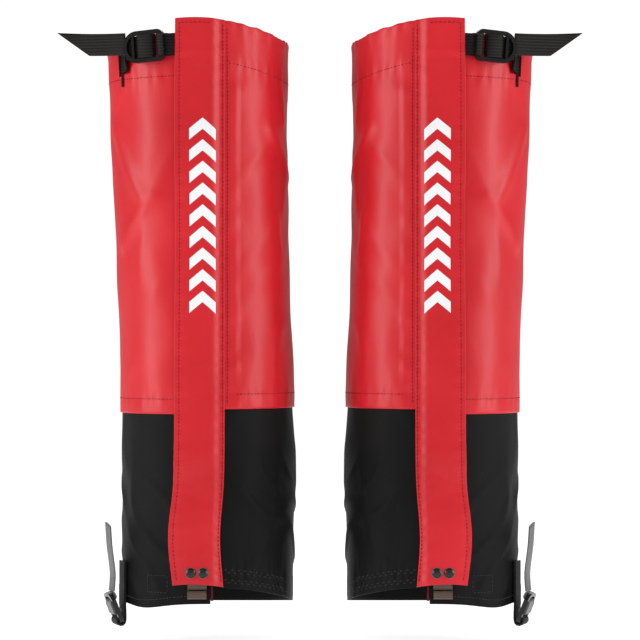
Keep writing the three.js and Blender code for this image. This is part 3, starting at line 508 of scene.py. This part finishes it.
# along(t) gives the place and the outward direction at t from 0 to 1.
def stitch_line(name, side, body, along, length, material, pitch=STITCH, fill=0.8):
    form = bmesh.new()
    count = max(1, round(length / pitch))
    for i in range(count):
        ends = [along((i + 0.5 + 0.5 * fill * s) / count) for s in (-1, -0.5, 0, 0.5, 1)]
        rings = []
        for (place, out), rise, girth in zip(ends, STITCH_RISE, STITCH_GIRTH):
            run = (ends[-1][0] - ends[0][0]).normalized()
            beside = run.cross(out).normalized()
            centre = place + out * STITCH_THREAD * rise
            ring = []
            for k in range(6):
                turn = 2 * math.pi * k / 6
                off = (beside * math.cos(turn) + out * math.sin(turn)) * STITCH_THREAD * girth
                at = centre + off
                ring.append(form.verts.new(mirrored(at, side)))
            rings.append(ring)
        for one, two in zip(rings, rings[1:]):
            for k in range(6):
                corners = [one[k], one[(k + 1) % 6], two[(k + 1) % 6], two[k]]
                form.faces.new(corners if SIDES[side] > 0 else corners[::-1]).smooth = True
        form.faces.new(rings[0] if SIDES[side] < 0 else rings[0][::-1])
        form.faces.new(rings[-1] if SIDES[side] > 0 else rings[-1][::-1])
    bmesh.ops.recalc_face_normals(form, faces=form.faces)
    mesh = bpy.data.meshes.new(name)
    form.to_mesh(mesh)
    form.free()
    piece = bpy.data.objects.new(name, mesh)
    bpy.context.collection.objects.link(piece)
    mesh.materials.append(material)
    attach(piece, f"{side}_{body}")
    return piece


def on_red(angle, z):
    return on_leg(angle, z, red_relief(angle, z)), outward(angle, z)


red_thread = thread("red_thread", (0.24, 0.006, 0.012))
for side in SIDES:
    for name, row_at, seam, start, end in (
        ("outer", outer_casing_row, outer_seam, -HALF_TURN, angle_at(OUTER_EDGE_X - 0.002, 0.38)),
        ("inner", inner_casing_row, inner_seam, angle_at(INNER_EDGE_X + 0.006, 0.38), HALF_TURN),
    ):
        length = (end - start) * GIRTH_RADIUS
        casing = stitch_line(
            f"{side}_casing_stitch_{name}", side, "sleeve",
            lambda t, a=start, b=end, at=row_at: on_red(a + (b - a) * t, at(a + (b - a) * t)),
            length, red_thread,
        )
        lower = stitch_line(
            f"{side}_seam_stitch_{name}", side, "sleeve",
            lambda t, a=start, b=end, at=seam: on_red(
                a + (b - a) * t, at(a + (b - a) * t) + SEAM_ROW,
            ),
            length, red_thread,
        )
    for name, half in (("one", 1), ("two", -1)):
        angle = half * (HALF_TURN - BACK_ROW_ANGLE)
        back = stitch_line(
            f"{side}_back_stitch_{name}", side, "sleeve",
            lambda t, angle=angle: on_red(angle, BACK_ROW_FROM + BACK_ROW_LENGTH * t),
            BACK_ROW_LENGTH, red_thread,
        )

# ---------------------------------------------------------------- casing facings
# The turned-in part of the top edge, seen inside the opening. It is the same red cloth, stitched
# down at its lower edge, and it stands off the panel between them to leave a tunnel for the strap.

FACING = 0.0008
FACING_GAP = 0.0003
TUNNEL = 0.0017  # how far the facing stands in, to leave room for the strap


def facing_relief(rim):
    def relief(angle, z):
        from_middle = abs(z - (rim(angle) - CASING_DEPTH / 2)) / (CASING_DEPTH / 2)
        tunnel = TUNNEL * min(1.0, max(0.0, (0.72 - from_middle) / 0.14))
        return slack(angle, z) - tunnel
    return relief


for side in SIDES:
    for name, rim, start, end in (
        ("outer", outer_rim, lambda z: -HALF_TURN, lambda z: angle_at(OUTER_EDGE_X - 0.001, z)),
        ("inner", inner_rim, lambda z: angle_at(INNER_EDGE_X + 0.001, z), lambda z: HALF_TURN),
    ):
        facing, area = panel(
            f"{side}_facing_{name}_cloth", side, start, end,
            lambda angle, rim=rim: rim(angle) - CASING_DEPTH,
            lambda angle, rim=rippled(rim): rim(angle) - 0.0002,
            facing_relief(rim), out=-CLOTH - FACING_GAP, thick=FACING,
        )
        finish_cloth(facing, red_nylon, "red_cloth", side, "sleeve", f"casing_facing_{name}")

# ---------------------------------------------------------------- black boot panels
# The part over the boot is heavier black nylon, tucked up 12 mm inside the red panels and sewn
# there. It is stiffer, so its folds are fewer and run aslant down to the hem.

BOOT_OUT = -0.0015
TUCK = 0.012
HEM_Z = 0.0035
HEM_BACK_DROP = 0.005
ELASTIC_END = math.radians(66)
HEM_ROW = 0.0055  # the hem's stitching above its edge


def hem(angle, rise):
    return HEM_Z + rise * front_share(angle) ** 1.3 - HEM_BACK_DROP * back_share(angle)


def inner_hem(angle):
    return hem(angle, 0.014)


def outer_hem(angle):
    return hem(angle, 0.0023) - 0.003 * bell(angle + 0.757, 0.35)


def boot_relief(angle, z):
    low = max(0.0, min(1.0, (0.125 - z) / 0.05))
    along = angle * GIRTH_RADIUS
    slant = noise.noise(Vector((along * 26 + z * 30, z * 16 - along * 9, 2.7)))
    fold = bell(slant, 0.15)
    near_front = bell(angle - angle_at(CLOSURE_X, z), 0.36)
    near_stirrup = bell(angle - STIRRUP_ANGLE, 0.3) * (1 if z < 0.05 else bell(z - 0.05, 0.02))
    under_strap = smooth((0.12 - math.cos(angle)) / 0.2) * smooth((UNDER_STRAP_TOP - z) / 0.014)
    near_seam = bell(math.pi - abs(angle), 0.3)
    deep = 0.0013 * low * fold * (1 - near_front) * (1 - near_stirrup)
    deep *= (1 - under_strap) * (1 - near_seam)
    gather = 0.0
    if angle > 0:
        hem_z = inner_hem(angle)
        uneven = 1.5 * noise.noise(Vector((along * 90, 0, 1)))
        gather = 0.0006 * math.sin(along / 0.0009 + uneven) * bell(z - hem_z - 0.010, 0.011)
        gather *= smooth((ELASTIC_END + 0.1 - angle) / 0.15)
    return slack(angle, z) + deep + gather * (1 - near_front)


black_nylon = woven(
    "black_nylon", (0.0050, 0.0047, 0.0046), (0.0026, 0.0025, 0.0024), 0.0007, 0.5, 0.11, 0.0, 0.5,
)
black_thread = thread("black_thread", (0.045, 0.043, 0.043))
elastic_thread = thread("elastic_thread", (0.060, 0.058, 0.056))
for side in SIDES:
    outer, area = panel(
        f"{side}_black_outer", side, lambda z: -HALF_TURN, lambda z: angle_at(OUTER_EDGE_X, z),
        outer_hem, lambda angle: outer_seam(angle) + TUCK, boot_relief, out=BOOT_OUT,
    )
    finish_cloth(outer, black_nylon, "black_cloth", side, "sleeve", "boot_outer_panel")
    inner, area = panel(
        f"{side}_black_inner", side, lambda z: angle_at(INNER_EDGE_X, z), lambda z: HALF_TURN,
        inner_hem, lambda angle: inner_seam(angle) + TUCK, boot_relief, out=BOOT_OUT,
    )
    finish_cloth(inner, black_nylon, "black_cloth", side, "sleeve", "boot_inner_panel")


def on_black(angle, z):
    return on_leg(angle, z, BOOT_OUT + boot_relief(angle, z)), outward(angle, z)


for side in SIDES:
    start = -HALF_TURN
    end = angle_at(OUTER_EDGE_X - 0.003, 0.01)
    hem_line = stitch_line(
        f"{side}_hem_stitch_outer", side, "sleeve",
        lambda t, a=start, b=end: on_black(a + (b - a) * t, outer_hem(a + (b - a) * t) + HEM_ROW),
        (end - start) * GIRTH_RADIUS, black_thread,
    )

# The foot of the stirrup tab is backed by a patch inside, sewn through with a box of stitches.

BOX_ANGLES = (-0.728, -0.456)
BOX_HEIGHTS = (0.0133, 0.0251)
for side in SIDES:
    corners = [(BOX_ANGLES[i], BOX_HEIGHTS[j]) for i, j in ((0, 0), (1, 0), (1, 1), (0, 1), (0, 0))]
    for number, (one, two) in enumerate(zip(corners, corners[1:])):
        length = math.hypot((two[0] - one[0]) * GIRTH_RADIUS, two[1] - one[1])
        row = stitch_line(
            f"{side}_patch_stitch_{number + 1}", side, "sleeve",
            lambda t, a=one, b=two: on_black(a[0] + (b[0] - a[0]) * t, a[1] + (b[1] - a[1]) * t),
            length, black_thread,
        )

# A flat elastic is sewn inside the inner hem with two zigzag rows, which gather it.

ELASTIC_THICK = 0.0008
ELASTIC_EDGES = (0.003, 0.014)  # above the hem
ZIGZAG = 0.0024
ZIGZAG_REACH = 0.0012
for side in SIDES:
    start = angle_at(INNER_EDGE_X + 0.003, 0.01)
    elastic, _ = panel(
        f"{side}_elastic_band", side, lambda z, a=start: a, lambda z: ELASTIC_END,
        lambda angle: inner_hem(angle) + ELASTIC_EDGES[0],
        lambda angle: inner_hem(angle) + ELASTIC_EDGES[1],
        boot_relief, out=BOOT_OUT - CLOTH - 0.0001, thick=ELASTIC_THICK,
    )
    finish_cloth(elastic, black_nylon, "black_cloth", side, "sleeve", "hem_elastic")
    turns = round((ELASTIC_END - start) * GIRTH_RADIUS / ZIGZAG)
    for name, above in (("low", 0.0048), ("high", 0.0118)):
        def zigzag(t, a=start, above=above):
            angle = a + (ELASTIC_END - a) * t
            swing = ZIGZAG_REACH * math.sin(math.pi * turns * t)
            return on_black(angle, inner_hem(angle) + above + swing)
        row = stitch_line(
            f"{side}_elastic_stitch_{name}", side, "sleeve", zigzag,
            (ELASTIC_END - start) * GIRTH_RADIUS, elastic_thread, pitch=ZIGZAG, fill=0.95,
        )

# ---------------------------------------------------------------- closure tapes and binding
# Under the flap, the outer panel's front edge is bound with a folded maroon tape, and a wide
# loop tape is sewn beside it. The hook tape that grips it is sewn to the back of the flap.


def tape_cloth(name, colour, grain, lift):
    material = bpy.data.materials.new(name)
    material.use_nodes = True
    nodes = material.node_tree.nodes
    skin = nodes["Principled BSDF"]
    skin.inputs["Roughness"].default_value = 0.85
    skin.inputs["Specular IOR Level"].default_value = 0.2
    space = nodes.new("ShaderNodeTexCoord")
    pile = nodes.new("ShaderNodeTexVoronoi")
    pile.inputs["Scale"].default_value = grain
    link(material, space.outputs["Object"], pile.inputs["Vector"])
    shade = nodes.new("ShaderNodeMix")
    shade.data_type = "RGBA"
    shade.inputs["A"].default_value = (*[1.8 * c for c in colour], 1)
    shade.inputs["B"].default_value = (*[0.6 * c for c in colour], 1)
    link(material, pile.outputs["Distance"], shade.inputs["Factor"])
    link(material, shade.outputs["Result"], skin.inputs["Base Color"])
    raised = nodes.new("ShaderNodeBump")
    raised.inputs["Strength"].default_value = 0.8
    raised.inputs["Distance"].default_value = lift
    link(material, pile.outputs["Distance"], raised.inputs["Height"])
    link(material, raised.outputs["Normal"], skin.inputs["Normal"])
    return material


loop_pile = tape_cloth("loop_pile", (0.016, 0.016, 0.016), 1400, 0.0004)
hook_pile = tape_cloth("hook_pile", (0.014, 0.014, 0.014), 900, 0.0005)
binding_tape = tape_cloth("binding_tape", (0.10, 0.006, 0.014), 2200, 0.0001)
for side in SIDES:
    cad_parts[f"{side}_loop_tape"].material_slots[0].material = loop_pile
    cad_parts[f"{side}_hook_tape"].material_slots[0].material = hook_pile
    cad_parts[f"{side}_front_binding"].material_slots[0].material = binding_tape

# ---------------------------------------------------------------- storm flap
# A double strip of the red nylon from rim to hem, sewn to the inner panel along one edge, with a
# second row of stitching beside it. Its other edge is free, turned under and topstitched, and lies
# over the tapes.

FLAP_SEWN_X = -0.0667
FLAP_WIDTH = 0.0336
FLAP_THICK = 0.0010
FLAP_SEAM = 0.0022
FLAP_STEP = 0.0078
FLAP_BOTTOM_Z = 0.0205
FLAP_ARCH = 0.0016
FLAP_LENGTH = 0.393
FLAP_GRID = 0.0017
FLAP_ROWS = (0.04, 0.91)  # shares of the width: the sewn edge's row and the free edge's
BESIDE_ROW_X = -0.0648
BESIDE_ROW_FROM = 0.146
BESIDE_ROW_LENGTH = 0.262


def flap_out(x):
    step = smooth((FLAP_SEWN_X - FLAP_SEAM - x) / FLAP_STEP)
    return 0.0013 + step * 0.00275


# share runs from the sewn edge, 0, to the free edge, 1; up from the bottom to the top.
def on_flap(share, up, extra=0.0):
    x = FLAP_SEWN_X - FLAP_WIDTH * share
    arch = FLAP_ARCH * (1 - (2 * share - 1) ** 2)
    top = inner_rim(angle_at(x, RIM_Z)) + 0.0006
    z = FLAP_BOTTOM_Z + arch - FLAP_ARCH + (top - FLAP_BOTTOM_Z - arch + FLAP_ARCH) * up
    free = smooth((share - 0.25) / 0.75)
    x += free * (0.0007 * noise.noise(Vector((0.4, 0, z * 11))) - 0.0007 * bell(z - 0.045, 0.03))
    x -= 0.0030 * bell(z - 0.052, 0.030)
    z -= 0.0012 * (1 - share) * (1 - up) ** 6
    wave = 0.0010 * noise.noise(Vector((x * 22, 4.4, z * 13)))
    wave += 0.0006 * noise.noise(Vector((x * 20, 1, z * 40)))
    wave += 0.0013 * noise.noise(Vector((x * 9, 6.3, z * 34))) * smooth((0.15 - z) / 0.05)
    lift = flap_out(x) + max(-0.0004, wave) * smooth(share * 2.5)
    lift += pucker(z, (share - 0.09) * FLAP_WIDTH, 0.00028, 0.0085, 0.004)
    lift += pucker(z, (share - FLAP_ROWS[1]) * FLAP_WIDTH, 0.00020, 0.0095, 0.003)
    lift += 0.0003 * bell(1 - share, 0.03)
    lift += 0.0004 * bell(z - 0.392, 0.004) + 0.0003 * bell(z - 0.379, 0.003)
    out = outward(angle_at(x, z), z)
    return on_leg(angle_at(x, z), z, lift + extra), out


def flap_strip(name, side, low, high, left, right, extra, thick):
    form = bmesh.new()
    flat = form.loops.layers.uv.new("flat")
    across = max(2, round((left - right) * FLAP_WIDTH / FLAP_GRID))
    up_steps = max(2, round((high - low) * FLAP_LENGTH / FLAP_GRID))
    grid = []
    for i in range(up_steps + 1):
        up = low + (high - low) * i / up_steps
        row = []
        for j in range(across + 1):
            share = right + (left - right) * j / across
            place, out = on_flap(share, up, extra)
            row.append((form.verts.new(mirrored(place, side)), share, up))
        grid.append(row)
    for one, two in zip(grid, grid[1:]):
        for j in range(across):
            corners = [one[j + 1], one[j], two[j], two[j + 1]]
            if SIDES[side] < 0:
                corners.reverse()
            face = form.faces.new([c[0] for c in corners])
            face.smooth = True
            for loop, corner in zip(face.loops, corners):
                loop[flat].uv = (corner[1] * FLAP_WIDTH, corner[2] * FLAP_LENGTH)
    mesh = bpy.data.meshes.new(name)
    form.to_mesh(mesh)
    form.free()
    piece = bpy.data.objects.new(name, mesh)
    bpy.context.collection.objects.link(piece)
    body = piece.modifiers.new("cloth", "SOLIDIFY")
    body.thickness = thick
    body.offset = -1
    edge = piece.modifiers.new("turned_edge", "BEVEL")
    edge.width = thick * 0.4
    edge.segments = 3
    edge.limit_method = "ANGLE"
    edge.angle_limit = math.radians(50)
    return piece


def beside_flap(t):
    z = BESIDE_ROW_FROM + BESIDE_ROW_LENGTH * t
    return on_red(angle_at(BESIDE_ROW_X, z), z)


for side in SIDES:
    flap = flap_strip(f"{side}_flap_cloth", side, 0.0, 1.0, 1.0, 0.0, 0.0, FLAP_THICK)
    flap.data.materials.append(red_nylon)
    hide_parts(f"{side}_flap")
    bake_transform(flap)
    for name, share, body in (
        ("sewn", FLAP_ROWS[0], "sleeve"), ("free", FLAP_ROWS[1], "flap"),
    ):
        row = stitch_line(
            f"{side}_flap_stitch_{name}", side, body,
            lambda t, share=share: on_flap(share, 0.008 + 0.984 * t), 0.387, red_thread,
        )
    beside = stitch_line(
        f"{side}_flap_stitch_beside", side, "sleeve",
        beside_flap, BESIDE_ROW_LENGTH, red_thread,
    )
    top_row = stitch_line(
        f"{side}_flap_stitch_top", side, "flap",
        lambda t: on_flap(0.3 + 0.6 * t, 0.991), 0.6 * FLAP_WIDTH, red_thread,
    )

# ---------------------------------------------------------------- printed bars
# A column of nine pointed white bars printed on the flap in reflective ink, so that the wearer
# shows up in the dark. The ink is a thin smooth layer, and a trace of the weave shows through.

BARS = 9
BAR_LOW_Z = 0.212
BAR_HIGH_Z = 0.347
BAR_SHARE = (0.19, 0.71)
BAR_FILL = 0.52
BAR_SLANT = 0.0075
BAR_ROWS, BAR_COLUMNS = 6, 16
INK = 0.00012
FLAP_RISE = 0.3925  # of the flap's middle, where the bars are

ink = woven(
    "reflective_ink", (0.90, 0.90, 0.91), (0.80, 0.80, 0.82), 0.0005, 0.38, 0.5, 0.0, 0.12,
    slub=0.04,
)
for side in SIDES:
    form = bmesh.new()
    flat = form.loops.layers.uv.new("flat")
    pitch = (BAR_HIGH_Z - BAR_LOW_Z) / BARS
    for bar in range(BARS):
        grid = []
        for i in range(BAR_ROWS + 1):
            row = []
            for j in range(BAR_COLUMNS + 1):
                share = BAR_SHARE[0] + (BAR_SHARE[1] - BAR_SHARE[0]) * j / BAR_COLUMNS
                z = BAR_LOW_Z + pitch * (bar + BAR_FILL * i / BAR_ROWS)
                z += BAR_SLANT * (1 - abs(2 * j / BAR_COLUMNS - 1)) - BAR_SLANT / 2
                place, out = on_flap(share, (z - FLAP_BOTTOM_Z) / FLAP_RISE, INK)
                row.append((form.verts.new(mirrored(place, side)), share * FLAP_WIDTH, z))
            grid.append(row)
        for one, two in zip(grid, grid[1:]):
            for j in range(BAR_COLUMNS):
                corners = [one[j + 1], one[j], two[j], two[j + 1]]
                if SIDES[side] < 0:
                    corners.reverse()
                face = form.faces.new([c[0] for c in corners])
                face.smooth = True
                for loop, corner in zip(face.loops, corners):
                    loop[flat].uv = corner[1:]
    mesh = bpy.data.meshes.new(f"{side}_printed_bars")
    form.to_mesh(mesh)
    form.free()
    bars = bpy.data.objects.new(f"{side}_printed_bars", mesh)
    bpy.context.collection.objects.link(bars)
    mesh.materials.append(ink)
    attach(bars, f"{side}_flap")

# ---------------------------------------------------------------- lace hook and rivets
# A J of steel strip, riveted behind the foot of the flap, that catches the boot lace. It is plated
# brown; its bevelled edges are bright bare steel, which also serves as a painted highlight along
# the lip. The two rivets have dark domed caps on grey washers.


def metal(name, colour, roughness, scratch):
    material = bpy.data.materials.new(name)
    material.use_nodes = True
    nodes = material.node_tree.nodes
    skin = nodes["Principled BSDF"]
    skin.inputs["Metallic"].default_value = 1.0
    skin.inputs["Base Color"].default_value = (*colour, 1)
    space = nodes.new("ShaderNodeTexCoord")
    pull = nodes.new("ShaderNodeMapping")
    pull.inputs["Scale"].default_value = (1, 1, 14)
    link(material, space.outputs["Object"], pull.inputs["Vector"])
    lines = nodes.new("ShaderNodeTexNoise")
    lines.inputs["Scale"].default_value = 260
    lines.inputs["Detail"].default_value = 6
    link(material, pull.outputs["Vector"], lines.inputs["Vector"])
    rough = nodes.new("ShaderNodeMapRange")
    rough.inputs["To Min"].default_value = roughness * 0.7
    rough.inputs["To Max"].default_value = roughness * 1.5
    link(material, lines.outputs["Fac"], rough.inputs["Value"])
    link(material, rough.outputs["Result"], skin.inputs["Roughness"])
    raised = nodes.new("ShaderNodeBump")
    raised.inputs["Strength"].default_value = scratch
    raised.inputs["Distance"].default_value = 0.00003
    link(material, lines.outputs["Fac"], raised.inputs["Height"])
    link(material, raised.outputs["Normal"], skin.inputs["Normal"])
    return material


def ease_edges(piece, width):
    edge = piece.modifiers.new("eased_edges", "BEVEL")
    edge.width = width
    edge.segments = 3
    edge.limit_method = "ANGLE"
    edge.angle_limit = math.radians(35)


plated = metal("plated_steel", (0.10, 0.068, 0.058), 0.20, 0.3)
# Bright steel for the hook's bevelled edges, used as a painted highlight along its lip.
bright_edge_highlight_steel = metal("bright_edge_highlight_steel", (0.88, 0.87, 0.85), 0.34, 0.2)
washer_plate = metal("washer_plate", (0.16, 0.15, 0.145), 0.28, 0.2)
dark_plate = metal("dark_plate", (0.045, 0.042, 0.040), 0.30, 0.2)
for side in SIDES:
    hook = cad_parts[f"{side}_lace_hook"]
    hook.material_slots[0].material = plated
    hook.data.materials.append(bright_edge_highlight_steel)
    ease_edges(hook, 0.00042)
    hook.modifiers["eased_edges"].material = 1  # painted highlight: bright steel on the bevelled edges
    for name in ("outer", "inner"):
        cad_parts[f"{side}_rivet_{name}"].material_slots[0].material = dark_plate
        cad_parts[f"{side}_rivet_washer_{name}"].material_slots[0].material = washer_plate

# ---------------------------------------------------------------- webbing of the top strap
# Ribbed black polyester webbing, 16 mm wide. It runs round in the casing, comes out of a slit at
# the outer side, turns back through the ladder-lock and ends in a loose tail cut at a slant.

WEB_WIDTH = 0.0156
WEB_THICK = 0.0014


def webbing_cloth(name, colour, edge_colour, axis, ribs, roughness, shine):
    material = bpy.data.materials.new(name)
    material.use_nodes = True
    nodes = material.node_tree.nodes
    skin = nodes["Principled BSDF"]
    skin.inputs["Specular IOR Level"].default_value = shine
    skin.inputs["Roughness"].default_value = roughness
    space = nodes.new("ShaderNodeTexCoord")
    turn = nodes.new("ShaderNodeMapping")
    turn.inputs["Rotation"].default_value = axis
    link(material, space.outputs["Object"], turn.inputs["Vector"])
    rows = nodes.new("ShaderNodeTexWave")
    rows.bands_direction = "Z"
    rows.inputs["Scale"].default_value = 0.314 / ribs
    rows.inputs["Distortion"].default_value = 0.6
    rows.inputs["Detail"].default_value = 2
    link(material, turn.outputs["Vector"], rows.inputs["Vector"])
    yarn = nodes.new("ShaderNodeTexNoise")
    yarn.inputs["Scale"].default_value = 1600
    link(material, space.outputs["Object"], yarn.inputs["Vector"])
    shade = nodes.new("ShaderNodeMix")
    shade.data_type = "RGBA"
    shade.inputs["A"].default_value = (*colour, 1)
    shade.inputs["B"].default_value = (*edge_colour, 1)
    link(material, rows.outputs["Fac"], shade.inputs["Factor"])
    link(material, shade.outputs["Result"], skin.inputs["Base Color"])
    mixed = nodes.new("ShaderNodeMath")
    mixed.operation = "MULTIPLY_ADD"
    mixed.inputs[1].default_value = 0.5
    link(material, yarn.outputs["Fac"], mixed.inputs[0])
    link(material, rows.outputs["Fac"], mixed.inputs[2])
    raised = nodes.new("ShaderNodeBump")
    raised.inputs["Strength"].default_value = 0.7
    raised.inputs["Distance"].default_value = 0.0002
    link(material, mixed.outputs[0], raised.inputs["Height"])
    link(material, raised.outputs["Normal"], skin.inputs["Normal"])
    return material


top_webbing = webbing_cloth(
    "top_webbing", (0.005, 0.0047, 0.0042), (0.017, 0.0155, 0.013), (0, 0, 0), 0.0021, 0.55, 0.12,
)
for side in SIDES:
    for name in ("top_strap", "top_buckle_web", "top_strap_turn", "bar_tack"):
        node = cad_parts[f"{side}_{name}"]
        node.material_slots[0].material = top_webbing
        ease_edges(node, 0.0003)


# A strap with ribs woven along it. line is its centre line, across its width direction, and
# the ends are cut where near and far say, for each place across from -1 to 1.
def strap(name, side, line, across, width, thick, ribs, near, far):
    form = bmesh.new()
    outline = []
    steps = ribs * 4
    for face in (1, -1):
        for k in range(steps + 1):
            v = -1 + 2 * k / steps
            bulge = (1 - abs(v) ** 10) ** 0.5
            rib = 0.07 * math.cos(2 * math.pi * k / 4)
            outline.append((v * face, face * (0.5 * bulge + rib * bulge)))
    rings = []
    count = 44
    for i in range(count + 1):
        ring = []
        for v, w in outline:
            t = near(v) + (far(v) - near(v)) * i / count
            place, out = line(t)
            at = place + across * (v * width / 2) + out * (w * thick)
            ring.append(form.verts.new(mirrored(at, side)))
        rings.append(ring)
    n = len(outline)
    for one, two in zip(rings, rings[1:]):
        for k in range(n):
            form.faces.new([one[k], one[(k + 1) % n], two[(k + 1) % n], two[k]]).smooth = True
    form.faces.new(rings[0])
    form.faces.new(rings[-1])
    bmesh.ops.recalc_face_normals(form, faces=form.faces)
    mesh = bpy.data.meshes.new(name)
    form.to_mesh(mesh)
    form.free()
    piece = bpy.data.objects.new(name, mesh)
    bpy.context.collection.objects.link(piece)
    return piece


tail_low, tail_high = (Vector(corner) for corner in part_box("left_top_strap_tail"))
TAIL_Z = 0.397
TAIL_FROM = Vector((tail_high.x, tail_low.y, TAIL_Z))
TAIL_TO = Vector((tail_low.x, tail_high.y, TAIL_Z))
TAIL_SLANT = 0.47  # share of the tail's length that the cut takes


def tail_line(t):
    run = TAIL_TO - TAIL_FROM
    out = Vector((run.y, -run.x, 0)).normalized()
    rise = Vector((0, 0, 0.0022)) * t * t + out * (0.0016 * math.sin(math.pi * t * 0.9) + 0.0006)
    return TAIL_FROM + run * t + rise, out


for side in SIDES:
    tail = strap(
        f"{side}_top_tail_strap", side, tail_line, Vector((0, 0, 1)), WEB_WIDTH, WEB_THICK, 7,
        lambda v: 0.0, lambda v: 1 - TAIL_SLANT * (1 - v) / 2,
    )
    tail.data.materials.append(top_webbing)
    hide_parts(f"{side}_top_strap_tail")
    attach(tail, f"{side}_top_tail")

# ---------------------------------------------------------------- ladder-lock buckles
# Moulded black acetal, glossy, with rounded edges. The top one is 31 mm long and hangs at the
# rim; the smaller one hangs from its tab beside the heel.


def moulded(name, roughness):
    material = bpy.data.materials.new(name)
    material.use_nodes = True
    nodes = material.node_tree.nodes
    skin = nodes["Principled BSDF"]
    skin.inputs["Base Color"].default_value = (0.005, 0.005, 0.0055, 1)
    skin.inputs["Specular IOR Level"].default_value = 0.28
    skin.inputs["Coat Weight"].default_value = 0.15
    skin.inputs["Coat Roughness"].default_value = 0.12
    space = nodes.new("ShaderNodeTexCoord")
    flow = nodes.new("ShaderNodeTexNoise")
    flow.inputs["Scale"].default_value = 420
    flow.inputs["Detail"].default_value = 4
    link(material, space.outputs["Object"], flow.inputs["Vector"])
    rough = nodes.new("ShaderNodeMapRange")
    rough.inputs["To Min"].default_value = roughness * 0.75
    rough.inputs["To Max"].default_value = roughness * 1.35
    link(material, flow.outputs["Fac"], rough.inputs["Value"])
    link(material, rough.outputs["Result"], skin.inputs["Roughness"])
    raised = nodes.new("ShaderNodeBump")
    raised.inputs["Strength"].default_value = 0.12
    raised.inputs["Distance"].default_value = 0.00005
    link(material, flow.outputs["Fac"], raised.inputs["Height"])
    link(material, raised.outputs["Normal"], skin.inputs["Normal"])
    return material


acetal = moulded("black_acetal", 0.22)
for side in SIDES:
    for name in ("top_buckle", "stirrup_buckle"):
        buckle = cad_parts[f"{side}_{name}"]
        buckle.material_slots[0].material = acetal
        ease_edges(buckle, 0.0004)

# ---------------------------------------------------------------- stirrup
# A coated strap, 14 mm wide, that passes under the boot when worn. It is sewn to the inner side,
# lies round the back of the heel here, and comes up through the small buckle to a stiff loose tail.

STIRRUP_WIDTH = 0.0144
STIRRUP_THICK = 0.0015
STIRRUP_FACING = math.radians(72)

# The turn and the loose tail are painted mid grey as a painted sheen. The strap itself is black,
# the same strap as the black part round the heel.
stirrup_sheen_grey_webbing = webbing_cloth(
    "stirrup_sheen_grey_webbing", (0.085, 0.085, 0.088), (0.125, 0.125, 0.13),
    (math.radians(90), 0, 0), 0.0024, 0.42, 0.5,
)
tab_webbing = webbing_cloth(
    "tab_webbing", (0.006, 0.006, 0.006), (0.018, 0.0175, 0.017),
    (math.radians(90), 0, 0), 0.0021, 0.55, 0.12,
)
heel_webbing = webbing_cloth(
    "heel_webbing", (0.006, 0.006, 0.006), (0.014, 0.0135, 0.013), (0, 0, 0), 0.0024, 0.5, 0.12,
)
for side in SIDES:
    for name, material in (
        ("stirrup_tab", tab_webbing), ("stirrup_turn", stirrup_sheen_grey_webbing),
        ("stirrup_strap", heel_webbing),
    ):
        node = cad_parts[f"{side}_{name}"]
        node.material_slots[0].material = material
        ease_edges(node, 0.0003)

STIRRUP_FOOT = on_leg(math.radians(-73.5), HEM_Z, BOOT_OUT)
STIRRUP_OUT = Vector((-math.sin(STIRRUP_FACING), -math.cos(STIRRUP_FACING), 0))
STIRRUP_BACK = Vector((-math.cos(STIRRUP_FACING), math.sin(STIRRUP_FACING), 0))
# out from the boot and height, from the buckle to the tip
STIRRUP_TAIL = [
    (0.00958, 0.0119), (0.0090, 0.0178), (0.0089, 0.0265), (0.0111, 0.0440), (0.0122, 0.0605),
]


def stirrup_line(t):
    spans = len(STIRRUP_TAIL) - 1
    k = min(spans - 1, int(t * spans))
    s = t * spans - k
    points = [STIRRUP_TAIL[max(0, min(spans, k + d))] for d in (-1, 0, 1, 2)]

    def curve(axis, s):
        p0, p1, p2, p3 = (p[axis] for p in points)
        square = (2 * p0 - 5 * p1 + 4 * p2 - p3) * s * s
        cube = (3 * p1 - p0 - 3 * p2 + p3) * s ** 3
        return 0.5 * (2 * p1 + (p2 - p0) * s + square + cube)

    out, z = curve(0, s), curve(1, s)
    slope = curve(0, s + 0.01) - out, curve(1, s + 0.01) - z
    normal = (STIRRUP_OUT * slope[1] - Vector((0, 0, 1)) * slope[0]).normalized()
    place = STIRRUP_FOOT + STIRRUP_OUT * out
    place.z = z
    return place, normal


for side in SIDES:
    tail = strap(
        f"{side}_stirrup_tail_strap", side, stirrup_line, STIRRUP_BACK,
        STIRRUP_WIDTH, STIRRUP_THICK, 5, lambda v: 0.0, lambda v: 1 - 0.03 * (1 - v),
    )
    # painted sheen: the tail is coloured grey for the gloss of a black strap
    tail.data.materials.append(stirrup_sheen_grey_webbing)
    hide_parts(f"{side}_stirrup_tail")
    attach(tail, f"{side}_stirrup_tail")
